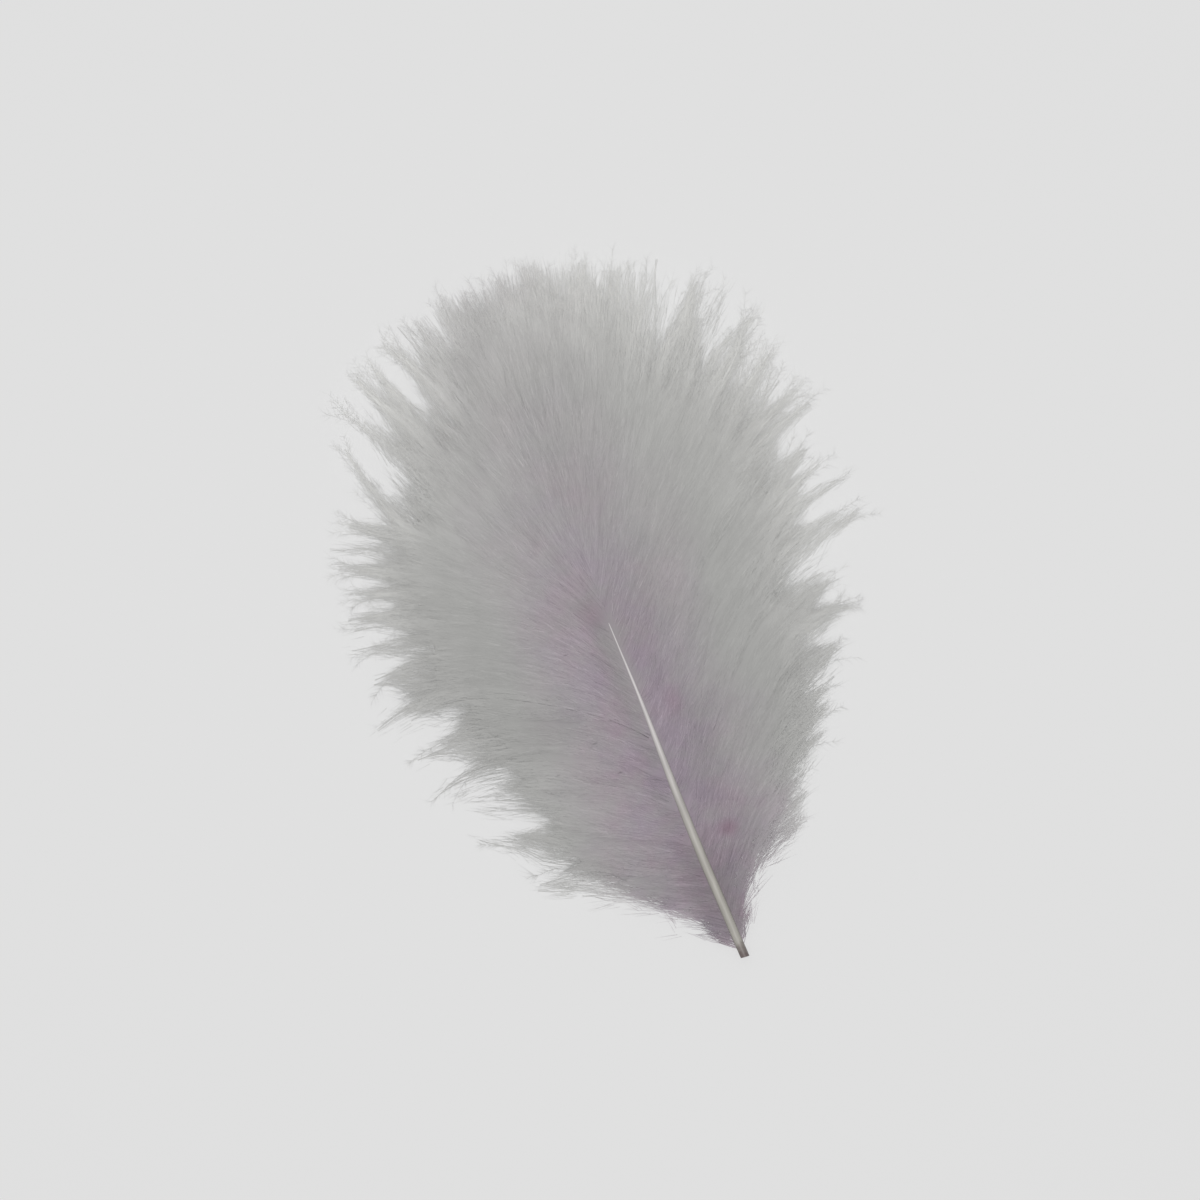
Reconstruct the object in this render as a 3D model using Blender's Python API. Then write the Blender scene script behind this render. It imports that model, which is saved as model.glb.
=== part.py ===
"""Marabou feather: a soft downy plume that lies flat, its shaft uppermost.

The feather grew as one piece, so it is one solid. Its locks of down are lofts that start in the shaft,
rise beside it and fall to pointed tips, and all of them are joined to the shaft by Boolean unions.
Metres, +Z up. The foot of the shaft points to -Y and the plume's tip to +Y. The origin is under the
middle of the feather, on the surface that it lies on.
"""

from math import cos, pi, radians, sin

import bmesh
import bpy
from mathutils import Vector

MM = 0.001

# Driving dimensions, in millimetres
HALF_LENGTH = 62.5
HALF_WIDTH = 46.0
FOOT_DIAMETER = 1.8

# The shaft from its foot to where it ends under the down: x, y, height of its middle, diameter
SHAFT = (
    (4.0, -HALF_LENGTH, 1.0, FOOT_DIAMETER),
    (3.6, -58.0, 1.2, 1.7),
    (3.0, -52.0, 1.7, 1.6),
    (2.2, -45.0, 2.4, 1.45),
    (1.5, -38.0, 3.1, 1.3),
    (0.8, -30.0, 3.8, 1.15),
    (0.3, -22.0, 4.4, 1.0),
    (-0.2, -14.0, 4.9, 0.85),
    (-0.8, -7.0, 5.3, 0.75),
    (-1.4, 0.0, 5.6, 0.7),
    (-2.0, 8.0, 5.8, 0.7),
    (-2.2, 14.0, 5.8, 0.7),
)

# The locks, round the feather from its foot. Each has its tip's x and y, the y where it leaves the shaft, its
# direction there and at its tip in degrees from +Y towards its own side, how far along it parts from the
# locks beside it, and its tip's height.
LEFT_LOCKS = (
    (-3.0, -56.0, -60.0, 55, 62, 0.62, 1.0),
    (-8.0, -51.5, -57.5, 58, 66, 0.76, 0.9),
    (-14.0, -47.5, -55.5, 60, 68, 0.78, 1.1),
    (-20.0, -44.0, -53.5, 62, 70, 0.80, 0.8),
    (-27.0, -40.5, -51.0, 64, 72, 0.74, 1.2),
    (-34.0, -29.0, -45.0, 66, 66, 0.72, 1.0),
    (-35.5, -23.0, -39.0, 58, 78, 0.74, 1.6),
    (-39.5, -21.5, -33.0, 50, 112, 0.72, 0.8),
    (-40.5, -13.5, -27.0, 50, 100, 0.74, 1.3),
    (-45.5, -7.5, -22.0, 44, 112, 0.74, 0.9),
    (-44.0, 1.0, -19.0, 42, 94, 0.84, 1.5),
    (-HALF_WIDTH, 7.5, -16.5, 38, 80, 0.76, 1.0),
    (-44.5, 11.0, -14.5, 38, 80, 0.80, 1.8),
    (-45.0, 13.0, -12.5, 38, 80, 0.78, 0.9),
    (-42.5, 17.0, -10.5, 38, 76, 0.80, 1.4),
    (-44.0, 22.0, -8.5, 38, 74, 0.78, 1.0),
    (-44.5, 25.5, -7.0, 38, 74, 0.78, 1.7),
    (-40.0, 28.5, -5.5, 37, 64, 0.84, 1.0),
    (-36.3, 42.0, -3.5, 46, 14, 0.70, 1.3),
    (-34.0, 49.5, -1.5, 38, 24, 0.74, 0.9),
    (-31.0, 52.5, -0.5, 33, 28, 0.82, 1.5),
    (-27.0, 54.0, 0.5, 28, 30, 0.80, 1.0),
    (-24.0, 56.5, 2.0, 22, 30, 0.79, 1.6),
    (-18.0, 59.5, 4.0, 18, 20, 0.88, 1.1),
    (-13.0, 61.0, 6.0, 14, 14, 0.90, 1.5),
    (-9.0, 60.5, 8.0, 9, 9, 0.92, 1.0),
    (-5.0, 61.0, 9.5, 4, 5, 0.92, 1.7),
    (-2.0, 62.0, 11.0, 0, 2, 0.92, 1.2),
)
RIGHT_LOCKS = (
    (2.0, HALF_LENGTH, 12.0, 5, 4, 0.92, 1.0),
    (5.5, 61.5, 11.0, 8, 6, 0.92, 1.6),
    (9.0, 60.0, 9.5, 12, 10, 0.91, 1.1),
    (12.5, 60.0, 8.0, 15, 14, 0.90, 1.5),
    (16.5, 58.0, 6.5, 18, 18, 0.88, 1.0),
    (20.5, 56.5, 5.0, 22, 20, 0.90, 1.4),
    (26.0, 52.5, 2.5, 27, 32, 0.80, 1.0),
    (30.5, 51.0, 0.0, 29, 46, 0.80, 1.5),
    (38.0, 43.0, -3.0, 36, 48, 0.76, 1.0),
    (35.5, 38.5, -5.0, 36, 46, 0.86, 1.6),
    (39.5, 36.0, -7.5, 35, 52, 0.82, 1.0),
    (39.5, 31.0, -10.5, 35, 54, 0.84, 1.5),
    (42.0, 28.5, -13.0, 34, 70, 0.80, 0.9),
    (43.5, 25.0, -16.5, 33, 76, 0.80, 1.4),
    (40.5, 18.0, -20.5, 33, 60, 0.86, 1.0),
    (42.0, 15.0, -24.5, 33, 72, 0.82, 1.5),
    (45.5, 11.7, -29.0, 33, 84, 0.78, 0.9),
    (HALF_WIDTH, 5.5, -33.5, 32, 84, 0.79, 1.3),
    (38.0, -3.0, -40.0, 33, 80, 0.84, 1.0),
    (39.5, -10.0, -45.5, 32, 92, 0.80, 1.4),
    (35.5, -17.0, -49.5, 30, 80, 0.82, 1.0),
    (30.5, -25.0, -52.5, 28, 66, 0.82, 1.5),
    (28.5, -29.0, -54.5, 27, 66, 0.84, 0.9),
    (25.5, -33.0, -56.0, 26, 66, 0.84, 1.3),
    (23.0, -38.0, -57.0, 25, 72, 0.82, 1.0),
    (21.5, -43.0, -57.6, 22, 88, 0.78, 1.2),
    (16.0, -46.5, -58.2, 20, 84, 0.78, 0.9),
    (10.5, -49.0, -58.8, 20, 60, 0.76, 1.1),
    (7.0, -55.0, -59.8, 30, 34, 0.66, 1.0),
)

# Where a lock's sections are while it lies against its neighbours, and the share of its height each has
JOINED_STATIONS = ((0.0, 0.0), (0.2, 0.85), (0.42, 1.0), (0.7, 0.7), (1.0, 0.4))
# Past there, how far on to its tip a section is, and its shares of the width and of the height
FREE_STATIONS = ((0.4, 0.62, 0.24), (0.75, 0.26, 0.1))
HANDLE = 0.36  # length of a path's handles, against the distance from its root to its tip
OVERLAP = 0.64  # half width of a lock, against the distance between its path and the next one
THINNEST = 0.7
EDGE_WIDTH = 0.9  # half width of the first and the last lock on the side towards the foot
WIDEST = 3.9
DIP = 0.3  # how far a lock starts below the middle of the shaft
SWELL = 0.06  # how far a lock rises above the shaft, against its length
MOST_SWELL = 2.4
COVERED_FROM = 1.0  # past this y the down closes over the shaft
COVER = 1.2
# Half a section, from its foot on the surface to its top: shares of its half width and of its height
LOCK_PROFILE = ((1.0, 0.0), (0.86, 0.62), (0.34, 1.0))
KEEL_PROFILE = ((1.0, 0.0), (0.8, 0.8), (0.3, 1.0))
KEEL_HALF_WIDTH = 2.3
KEEL_DIP = 0.15  # how far the keel's top is below the middle of the shaft, against its diameter
KEEL_POINT = 6.0
NEIGHBOUR_POINTS = 40

SHAFT_SIDES_RESOLUTION = 2


def shaft_at(y):
    """The middle of the shaft at a place along the feather, in millimetres."""
    for (x0, y0, z0, _), (x1, y1, z1, _) in zip(SHAFT, SHAFT[1:]):
        if y <= y1:
            share = (y - y0) / (y1 - y0)
            return Vector((x0 + share * (x1 - x0), y, z0 + share * (z1 - z0)))
    return Vector(SHAFT[-1][:3])


def bezier(points, share):
    """A point on a cubic curve, and its direction."""
    a, b, c, d = points
    rest = 1.0 - share
    place = a * rest**3 + b * 3 * rest**2 * share + c * 3 * rest * share**2 + d * share**3
    heading = (b - a) * rest**2 + (c - b) * 2 * rest * share + (d - c) * share**2
    return place, heading.normalized()


def lock_path(lock, side):
    """A lock's path seen from above: its root, two handles and its tip."""
    tip_x, tip_y, root_y, leave, arrive = lock[:5]
    root = shaft_at(root_y).to_2d()
    tip = Vector((tip_x, tip_y))
    reach = HANDLE * (tip - root).length
    away = Vector((side * sin(radians(leave)), cos(radians(leave))))
    last = Vector((side * sin(radians(arrive)), cos(radians(arrive))))
    return root, root + away * reach, tip - last * reach, tip


def gap_between(place, path):
    """How far a place is from a lock's path."""
    shares = [k / NEIGHBOUR_POINTS for k in range(NEIGHBOUR_POINTS + 1)]
    return min((bezier(path, share)[0] - place).length for share in shares)


def lock_stations(split):
    """A lock's sections: how far along, share of its width, share of its height."""
    stations = [(split * share, 1.0, high) for share, high in JOINED_STATIONS]
    for share, wide, high in FREE_STATIONS:
        stations.append((split + (1.0 - split) * share, wide, high))
    return stations


def half_width(place, neighbour):
    """How far a lock reaches towards a neighbour, which is None past the first and the last lock."""
    if neighbour is None:
        return EDGE_WIDTH
    return min(WIDEST, max(THINNEST, OVERLAP * gap_between(place, neighbour)))


def section(place, out, half_before, half_after, crest, profile):
    """One ring that stands on the surface across a path, foot to foot over its crest."""
    ring = []
    for across, high in profile:
        spot = place - out * (across * half_before)
        ring.append(Vector((spot.x, spot.y, high * crest)) * MM)
    for across, high in reversed(profile):
        spot = place + out * (across * half_after)
        ring.append(Vector((spot.x, spot.y, high * crest)) * MM)
    return ring


def lock_sections(lock, path, before, after):
    """The rings of a lock, from the shaft outwards, and its tip."""
    root_y, split, tip_height = lock[2], lock[5], lock[6]
    length = (path[3] - path[0]).length
    start = shaft_at(root_y).z - DIP
    top = start + min(MOST_SWELL, SWELL * length)
    if root_y > COVERED_FROM:
        start += COVER
    rings = []
    halves = (THINNEST, THINNEST)
    for share, wide, high in lock_stations(split):
        place, heading = bezier(path, share)
        out = Vector((heading.y, -heading.x))
        if wide == 1.0:
            halves = (half_width(place, before), half_width(place, after))
        crest = start if high == 0.0 else tip_height + high * (top - tip_height)
        half_before, half_after = halves[0] * wide, halves[1] * wide
        rings.append(section(place, out, half_before, half_after, crest, LOCK_PROFILE))
    tip = Vector((path[3].x, path[3].y, tip_height)) * MM
    return rings, tip


def new_object(name, mesh, collection):
    """An object of a mesh, in a collection."""
    made = bpy.data.objects.new(name, mesh)
    collection.objects.link(made)
    return made


def make_loft(name, rings, tip, collection):
    """A closed loft through rings of unlike shape, from a flat start to a point."""
    bm = bmesh.new()
    loops = [[bm.verts.new(point) for point in ring] for ring in rings]
    count = len(loops[0])
    bm.faces.new(loops[0])
    for near, far in zip(loops, loops[1:]):
        for k in range(count):
            after = (k + 1) % count
            bm.faces.new((near[k], far[k], far[after], near[after]))
    point = bm.verts.new(tip)
    for k in range(count):
        bm.faces.new((loops[-1][k], point, loops[-1][(k + 1) % count]))
    bmesh.ops.recalc_face_normals(bm, faces=bm.faces)
    mesh = bpy.data.meshes.new(name)
    bm.to_mesh(mesh)
    bm.free()
    return new_object(name, mesh, collection)


def make_lock(lock, path, before, after, collection):
    """One lock of down: a loft whose sections change from a ridge to a thin free tip."""
    rings, tip = lock_sections(lock, path, before, after)
    return make_loft("lock", rings, tip, collection)


def make_keel(collection):
    """The down right under the shaft, which the locks start in: a low ridge that follows the shaft."""
    rings = []
    for x, y, height, diameter in SHAFT[1:]:
        crest = height - KEEL_DIP * diameter
        place, out = Vector((x, y)), Vector((1.0, 0.0))
        rings.append(section(place, out, KEEL_HALF_WIDTH, KEEL_HALF_WIDTH, crest, KEEL_PROFILE))
    end = Vector((SHAFT[-1][0], SHAFT[-1][1] + KEEL_POINT, 0.5 * SHAFT[-1][2])) * MM
    return make_loft("keel", rings, end, collection)


def make_shaft(collection):
    """The shaft: a bevelled curve along its route, tapering, made a closed mesh."""
    curve = bpy.data.curves.new("shaft", "CURVE")
    curve.dimensions = "3D"
    curve.bevel_depth = 0.5 * FOOT_DIAMETER * MM
    curve.bevel_resolution = SHAFT_SIDES_RESOLUTION
    curve.use_fill_caps = True
    spline = curve.splines.new("POLY")
    spline.points.add(len(SHAFT) - 1)
    for point, (x, y, z, diameter) in zip(spline.points, SHAFT):
        point.co = (x * MM, y * MM, z * MM, 1.0)
        point.radius = diameter / FOOT_DIAMETER
    guide = new_object("shaft_route", curve, collection)
    bpy.context.view_layer.update()
    evaluated = guide.evaluated_get(bpy.context.evaluated_depsgraph_get())
    mesh = bpy.data.meshes.new_from_object(evaluated)
    bpy.data.objects.remove(guide)
    bm = bmesh.new()
    bm.from_mesh(mesh)
    bmesh.ops.remove_doubles(bm, verts=bm.verts, dist=0.00001)
    bmesh.ops.recalc_face_normals(bm, faces=bm.faces)
    bm.to_mesh(mesh)
    bm.free()
    return new_object("feather", mesh, collection)


def join(target, tool):
    """Joins the tool to the target, by the solver that leaves no sliver where many locks cross."""
    boolean = target.modifiers.new("join", "BOOLEAN")
    boolean.operation = "UNION"
    boolean.solver = "MANIFOLD"
    boolean.object = tool
    bpy.context.view_layer.update()
    evaluated = target.evaluated_get(bpy.context.evaluated_depsgraph_get())
    mesh = bpy.data.meshes.new_from_object(evaluated)
    target.modifiers.clear()
    old = target.data
    target.data = mesh
    bpy.data.meshes.remove(old)
    bpy.data.objects.remove(tool)


def make_material():
    """Grey down with a breath of mauve: soft and without shine."""
    material = bpy.data.materials.new("down")
    material.use_nodes = True
    shader = material.node_tree.nodes["Principled BSDF"]
    shader.inputs["Base Color"].default_value = (0.36, 0.34, 0.35, 1.0)
    shader.inputs["Roughness"].default_value = 0.9
    shader.inputs["Metallic"].default_value = 0.0
    return material


def main():
    """Builds the feather in an empty scene."""
    for stale in list(bpy.data.objects):
        bpy.data.objects.remove(stale)
    parts = bpy.data.collections.new("marabou_feather")
    tools = bpy.data.collections.new("joined_pieces")
    for collection in (parts, tools):
        bpy.context.scene.collection.children.link(collection)
    feather = make_shaft(parts)
    join(feather, make_keel(tools))
    locks = LEFT_LOCKS + RIGHT_LOCKS
    paths = [lock_path(lock, -1.0) for lock in LEFT_LOCKS] + [lock_path(lock, 1.0) for lock in RIGHT_LOCKS]
    for lock, path, before, after in zip(locks, paths, [None] + paths, paths[1:] + [None]):
        join(feather, make_lock(lock, path, before, after, tools))
    feather.data.materials.clear()
    feather.data.materials.append(make_material())
    feather.data.shade_smooth()
    feather.data.set_sharp_from_angle(angle=0.25 * pi)


if __name__ == "__main__":
    main()
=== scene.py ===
"""Marabou feather: the looks of a soft downy plume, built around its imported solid.

The locks of down follow the same paths as the solid's. One soft core fills their middle. Barbs run over it
from the shaft to the tips, and thousands of barbules make the down soft. Both are joined meshes of fine
closed forms. A few more faint locks, lone barbs and fluff stand out at the rim. Sizes are in millimetres
until they reach a mesh, which is in metres.
"""

from math import cos, pi, radians, sin

import bmesh
import bpy
import numpy as np
from mathutils import Matrix, Vector, kdtree


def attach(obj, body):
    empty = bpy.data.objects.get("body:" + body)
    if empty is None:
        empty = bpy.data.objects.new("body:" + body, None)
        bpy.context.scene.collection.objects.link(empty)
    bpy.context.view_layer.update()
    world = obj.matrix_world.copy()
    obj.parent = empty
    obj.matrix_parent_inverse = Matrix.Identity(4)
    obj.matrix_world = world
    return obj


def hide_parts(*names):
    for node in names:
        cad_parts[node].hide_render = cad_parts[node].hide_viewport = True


bl_info = {
    "name": "Marabou Feather",
    "version": (1, 0, 0),
    "blender": (4, 5, 0),
    "location": "View3D > Sidebar > Feather",
    "description": "Builds a soft marabou plume of shaft, barbs and barbules",
    "category": "Add Mesh",
}

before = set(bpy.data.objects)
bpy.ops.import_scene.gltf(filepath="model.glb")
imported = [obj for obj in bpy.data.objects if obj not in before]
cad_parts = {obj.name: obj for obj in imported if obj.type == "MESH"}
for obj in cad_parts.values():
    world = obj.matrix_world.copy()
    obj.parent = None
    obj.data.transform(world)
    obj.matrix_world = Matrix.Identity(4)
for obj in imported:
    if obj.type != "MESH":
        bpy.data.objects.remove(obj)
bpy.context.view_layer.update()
NODE = "feather"
DOWN = "soft_down"
BODY = "root"
MM = 0.001
LOCK_SEED, BARB_SEED, DOWN_SEED = 41, 23, 7

# The shaft from its foot to where it ends under the down: x, y, height of its middle, diameter
SHAFT = (
    (4.1, -62.2, 1, 1.55), (3.6, -58, 1.2, 1.62), (3, -52, 1.75, 1.66), (2.2, -45, 2.5, 1.66),
    (1.55, -38, 3.2, 1.58), (0.9, -30, 3.9, 1.4), (0.35, -22, 4.5, 1.04), (-0.2, -14, 5, 0.6),
    (-0.9, -7, 5.3, 0.38), (-1.6, 0, 5.4, 0.14), (-2, 8, 5.3, 0.1), (-2.2, 14, 5.2, 0.08),
)
SHAFT_STATIONS, SHAFT_SIDES = 56, 14
FOOT_WALL, FOOT_HOLLOW = 0.22, 0.5  # of the cut foot, where the quill is open

# The locks, round the feather from its foot. Each has its tip's x and y, the y where it leaves the shaft, its
# direction there and at its tip in degrees from +Y towards its own side, how far along it parts from the
# locks beside it, and its tip's height.
LEFT_LOCKS = (
    (-3, -56, -60, 55, 62, 0.62, 1), (-8, -51.5, -57.5, 58, 66, 0.76, 0.9),
    (-14, -47.5, -55.5, 60, 68, 0.78, 1.1), (-20, -44, -53.5, 62, 70, 0.8, 0.8),
    (-27, -40.5, -51, 64, 72, 0.74, 1.2), (-34, -29, -45, 66, 66, 0.72, 1),
    (-35.5, -23, -39, 58, 78, 0.74, 1.6), (-39.5, -21.5, -33, 50, 112, 0.72, 0.8),
    (-40.5, -13.5, -27, 50, 100, 0.74, 1.3), (-45.5, -7.5, -22, 44, 112, 0.74, 0.9),
    (-44, 1, -19, 42, 94, 0.84, 1.5), (-46, 7.5, -16.5, 38, 80, 0.76, 1),
    (-44.5, 11, -14.5, 38, 80, 0.8, 1.8), (-45, 13, -12.5, 38, 80, 0.78, 0.9),
    (-42.5, 17, -10.5, 38, 76, 0.8, 1.4), (-44, 22, -8.5, 38, 74, 0.78, 1),
    (-44.5, 25.5, -7, 38, 74, 0.78, 1.7), (-40, 28.5, -5.5, 37, 64, 0.84, 1),
    (-36.3, 42, -3.5, 46, 14, 0.7, 1.3), (-34, 49.5, -1.5, 38, 24, 0.74, 0.9),
    (-31, 52.5, -0.5, 33, 28, 0.82, 1.5), (-27.2, 53, 0.5, 28, 20, 0.8, 1),
    (-24, 56.5, 2, 22, 30, 0.79, 1.6), (-21.5, 59.5, 3, 20, 24, 0.84, 1.2),
    (-18, 59.5, 4, 18, 20, 0.88, 1.1), (-13, 61, 6, 14, 14, 0.9, 1.5), (-9, 60.5, 8, 9, 9, 0.92, 1),
    (-5, 61, 9.5, 4, 5, 0.92, 1.7), (-2, 62, 11, 0, 2, 0.92, 1.2),
)
RIGHT_LOCKS = (
    (2, 62.5, 12, 5, 4, 0.92, 1), (5.5, 61.5, 11, 8, 6, 0.92, 1.6), (9, 60, 9.5, 12, 10, 0.91, 1.1),
    (12.5, 60, 8, 15, 14, 0.9, 1.5), (16.5, 58, 6.5, 18, 18, 0.88, 1), (20.5, 56.5, 5, 22, 20, 0.9, 1.4),
    (25, 57.5, 3.8, 24, 26, 0.84, 1.3), (27, 53, 2.5, 27, 32, 0.8, 1), (31, 51.5, 0.8, 28, 40, 0.86, 1.5),
    (35, 48.5, -0.4, 31, 42, 0.85, 1.1), (28.8, 41, -1.5, 32, 44, 0.86, 1.2), (38, 43, -3, 36, 48, 0.86, 1),
    (35.5, 38.5, -5, 36, 46, 0.86, 1.6), (39.5, 36, -7.5, 35, 52, 0.82, 1),
    (39.5, 31, -10.5, 35, 54, 0.84, 1.5), (42, 28.5, -13, 34, 70, 0.8, 0.9),
    (43.5, 25, -16.5, 33, 76, 0.8, 1.4), (40.5, 18, -20.5, 33, 60, 0.86, 1),
    (42, 15, -24.5, 33, 72, 0.82, 1.5), (45.5, 11.7, -29, 33, 84, 0.78, 0.9),
    (46, 5.5, -33.5, 32, 84, 0.79, 1.3), (37.8, -4.3, -40, 33, 80, 0.84, 1),
    (39.5, -10, -45.5, 32, 92, 0.8, 1.4), (36.2, -15.8, -49.5, 30, 80, 0.82, 1),
    (33.5, -20.5, -51.2, 29, 74, 0.83, 1.1), (30.5, -25, -52.5, 28, 66, 0.82, 1.5),
    (28.5, -29, -54.5, 27, 66, 0.84, 0.9), (25.5, -33, -56, 26, 66, 0.84, 1.3),
    (23, -38, -57, 25, 72, 0.82, 1), (21.5, -43, -57.6, 22, 88, 0.78, 1.2),
    (16, -46.5, -58.2, 20, 84, 0.78, 0.9), (10.5, -49, -58.8, 20, 60, 0.76, 1.1),
    (7, -55, -59.8, 30, 34, 0.66, 1),
)

# A lock's shape between those values
HANDLE = 0.36  # length of a path's handles, against the distance from its root to its tip
OVERLAP = 0.64  # half width of a lock, against the distance between its path and the next one
THINNEST, WIDEST = 0.7, 4.6  # limits of that half width
EDGE_WIDTH = 0.9  # half width on the side that has no next lock
DIP = 0.3  # how deep in the shaft a lock starts
SWELL, MOST_SWELL = 0.06, 2.4  # how much higher it rises, against its length and at most
COVERED_FROM, COVER = 1.0, 1.2  # the y past which the locks cover the shaft, and by how much
RISE = ((0, 0), (0.2, 0.85), (0.42, 1), (0.7, 0.7), (1, 0.4))  # share of the joined part, height there
FALL = ((0.4, 0.24), (0.75, 0.1), (1, 0))  # share of the free part, height there
SMOOTHED = 13  # the steps of its path that its height is smoothed over
EVENING = 2.2  # how far the heights of neighbouring locks are evened out where they are joined
# How far a lock takes that even height: at its foot, from LEVEL_FROM of its path, where it parts, at its tip
LEVELLED, LEVEL_FROM = (0.2, 1, 1, 0), 0.06
CROWN = (0.02, 0.35)  # how far a lock falls off to its sides, where joined and what the free end adds
LOCK_STEPS, NEIGHBOUR_STEPS = 100, 60
PAST_TIP = 1.14  # the paths go on past the tips, up to this share of their length

# The tufts that a lock's end parts into
TUFT_WIDTH, MOST_TUFTS = 3.4, 2
GATHERED = (0.84, 0.92)  # locks that part before the first share end in points, and after the last they don't
SHORTEST_TUFT = 0.45  # against the free part of its lock
TUFT_SPREAD = 0.6  # how far the tufts aim apart, against half the lock's width
UNEVEN_AIM, WHOLE_AIM = (0.5, 1.3), 0.2  # how much that differs, and how much of it the whole tuft takes
NARROWING = 0.75  # how soon the locks narrow once they part
WAVE, WAVED_FROM = 0.3, 40.0  # how far the barbs sway, and the length from which a lock's sway in full
WAVES, WAVE_LAG = (1.5, 3.0), 2.6  # how many waves along a lock, and how much they differ across it

# The barbs and the loose ones: their points, their widths at foot and tip, how deep and how low they lie
BARB_SPACING, BARBS_ACROSS, BARBS_STRAY = 0.42, 0.8, 0.05
BARB_POINTS, BARB_FOOT, BARB_TIP, BARB_SINK = 14, 0.1, 0.03, 0.02
HAIR_POINTS, HAIR_FOOT, HAIR_TIP = 9, 0.07, 0.02
LOWEST_BARB = 0.3
HAIRY = ((-45, -25, 20, 45), (0.08, 0.45, 0.65, 1))  # y of a lock's tip, its chance of a loose barb
MOST_HAIRY = 1.4  # how much fuller tips raise that chance
HAIR_START, HAIR_SHARE = (0.56, 0.9), (0.14, 0.3)  # where they start along their lock, and how much they take
PAST_BY = (-1.5, 2.4)  # how far past the tip of their lock they end at most, in millimetres

# Single barbs that stand out at the rim, each through places seen from above
LONE_BARBS = (
    ((15.2, 35.8), (17.2, 45), (18.8, 54.4)), ((18.5, 38.4), (21.2, 46), (23.3, 53)),
    ((21.4, 46.3), (23.4, 49.6), (26, 52.2)), ((-11.9, 50.2), (-12.4, 55), (-13.3, 60.1)),
    ((-19.8, 44), (-21.3, 50.5), (-24.3, 55.7)), ((35.5, 8.3), (40.7, 10.4), (45.4, 11.9)),
    ((36, 8.4), (40.9, 10.6), (45.2, 12.2)),
)
LONE_CHANCE, LONE_ALONG = -3.0, 40.0  # how dark they are, and where they are in the streaks
LONE_HEIGHT = 2.6  # where they leave the down
SHUT = 0.5  # no barb goes on where the clearings leave less down than this

# The soft core
CORE_STEP = 1.0
CORE_INSIDE = 4.6  # how far inside the edge of the dense down it ends
CORE_TAPER = ((4.0, 0.3), (6.0, 0.75), (8.5, 1.0))  # millimetres inside that edge, share of the full height
CORE_SINK, CORE_BOTTOM = 0.15, 0.35
CORE_SMOOTHING = 6

# Two kinds of barbule. Each has how many there are, the shares of a lock where it starts, is at its densest
# from, is at its densest to and ends, its density at the start and at the end against the densest, its length
# and width, how far it swings off the barb in degrees, how unevenly it rises, how deep it is sunk and how far
# it strays sideways.
BARBULES = {
    "body": (84000, (0, 0.02, 0.5, 0.8), (1, 0), 4.2, 0.1, (1, 14), 0.015, 0.15, 0.1),
    "rim": (118000, (0.45, 0.66, 0.8, 1), (0, 0.3), 4.4, 0.036, (1, 12), 0.02, 0.6, 0.6),
}
ACROSS, LOOSE_ACROSS = 0.86, 1.15  # how far to the sides of its lock it starts, where joined and where free
UNDERSIDE_SHARE = 0.12  # how many barbules lie under the feather
UNDERSIDE = (0.14, 0.45)  # and how high
DEEP_SHARE = 0.18  # how many lie anywhere under the down's top, near the rim
DEEP_FROM, DEEPEST = 0.3, 0.85  # how far before a lock parts they start, and how deep, against its height
TRIED_AT = ((-44, -30), (0.85, 0.65))  # y, and the share of a barbule's length that has to be in the down
LOWEST_FOOT, LOWEST_TIP, LOWEST_POINT = 0.16, 0.1, 0.04
NEEDLE_DEPTH = 1.5  # of a barbule, against half its width
UNEVEN_LENGTH, UNEVEN_WIDTH = (0.55, 1.25), (0.7, 1.3)
FREE_SWING, FREE_LENGTH = 0.45, 0.4  # how much less they swing and reach at the tips
LOOK_BACK = 0.015  # the share of a lock over which its direction is taken
MOST_CHANCE = 4.0
# The barbules of a loose barb: how many, their length and width, how far they swing off it in degrees, and
# how much their length and their rise differ
FLUFF = (38, 1.8, 0.026, (12, 60), (0.5, 1.2), 0.12)

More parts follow.
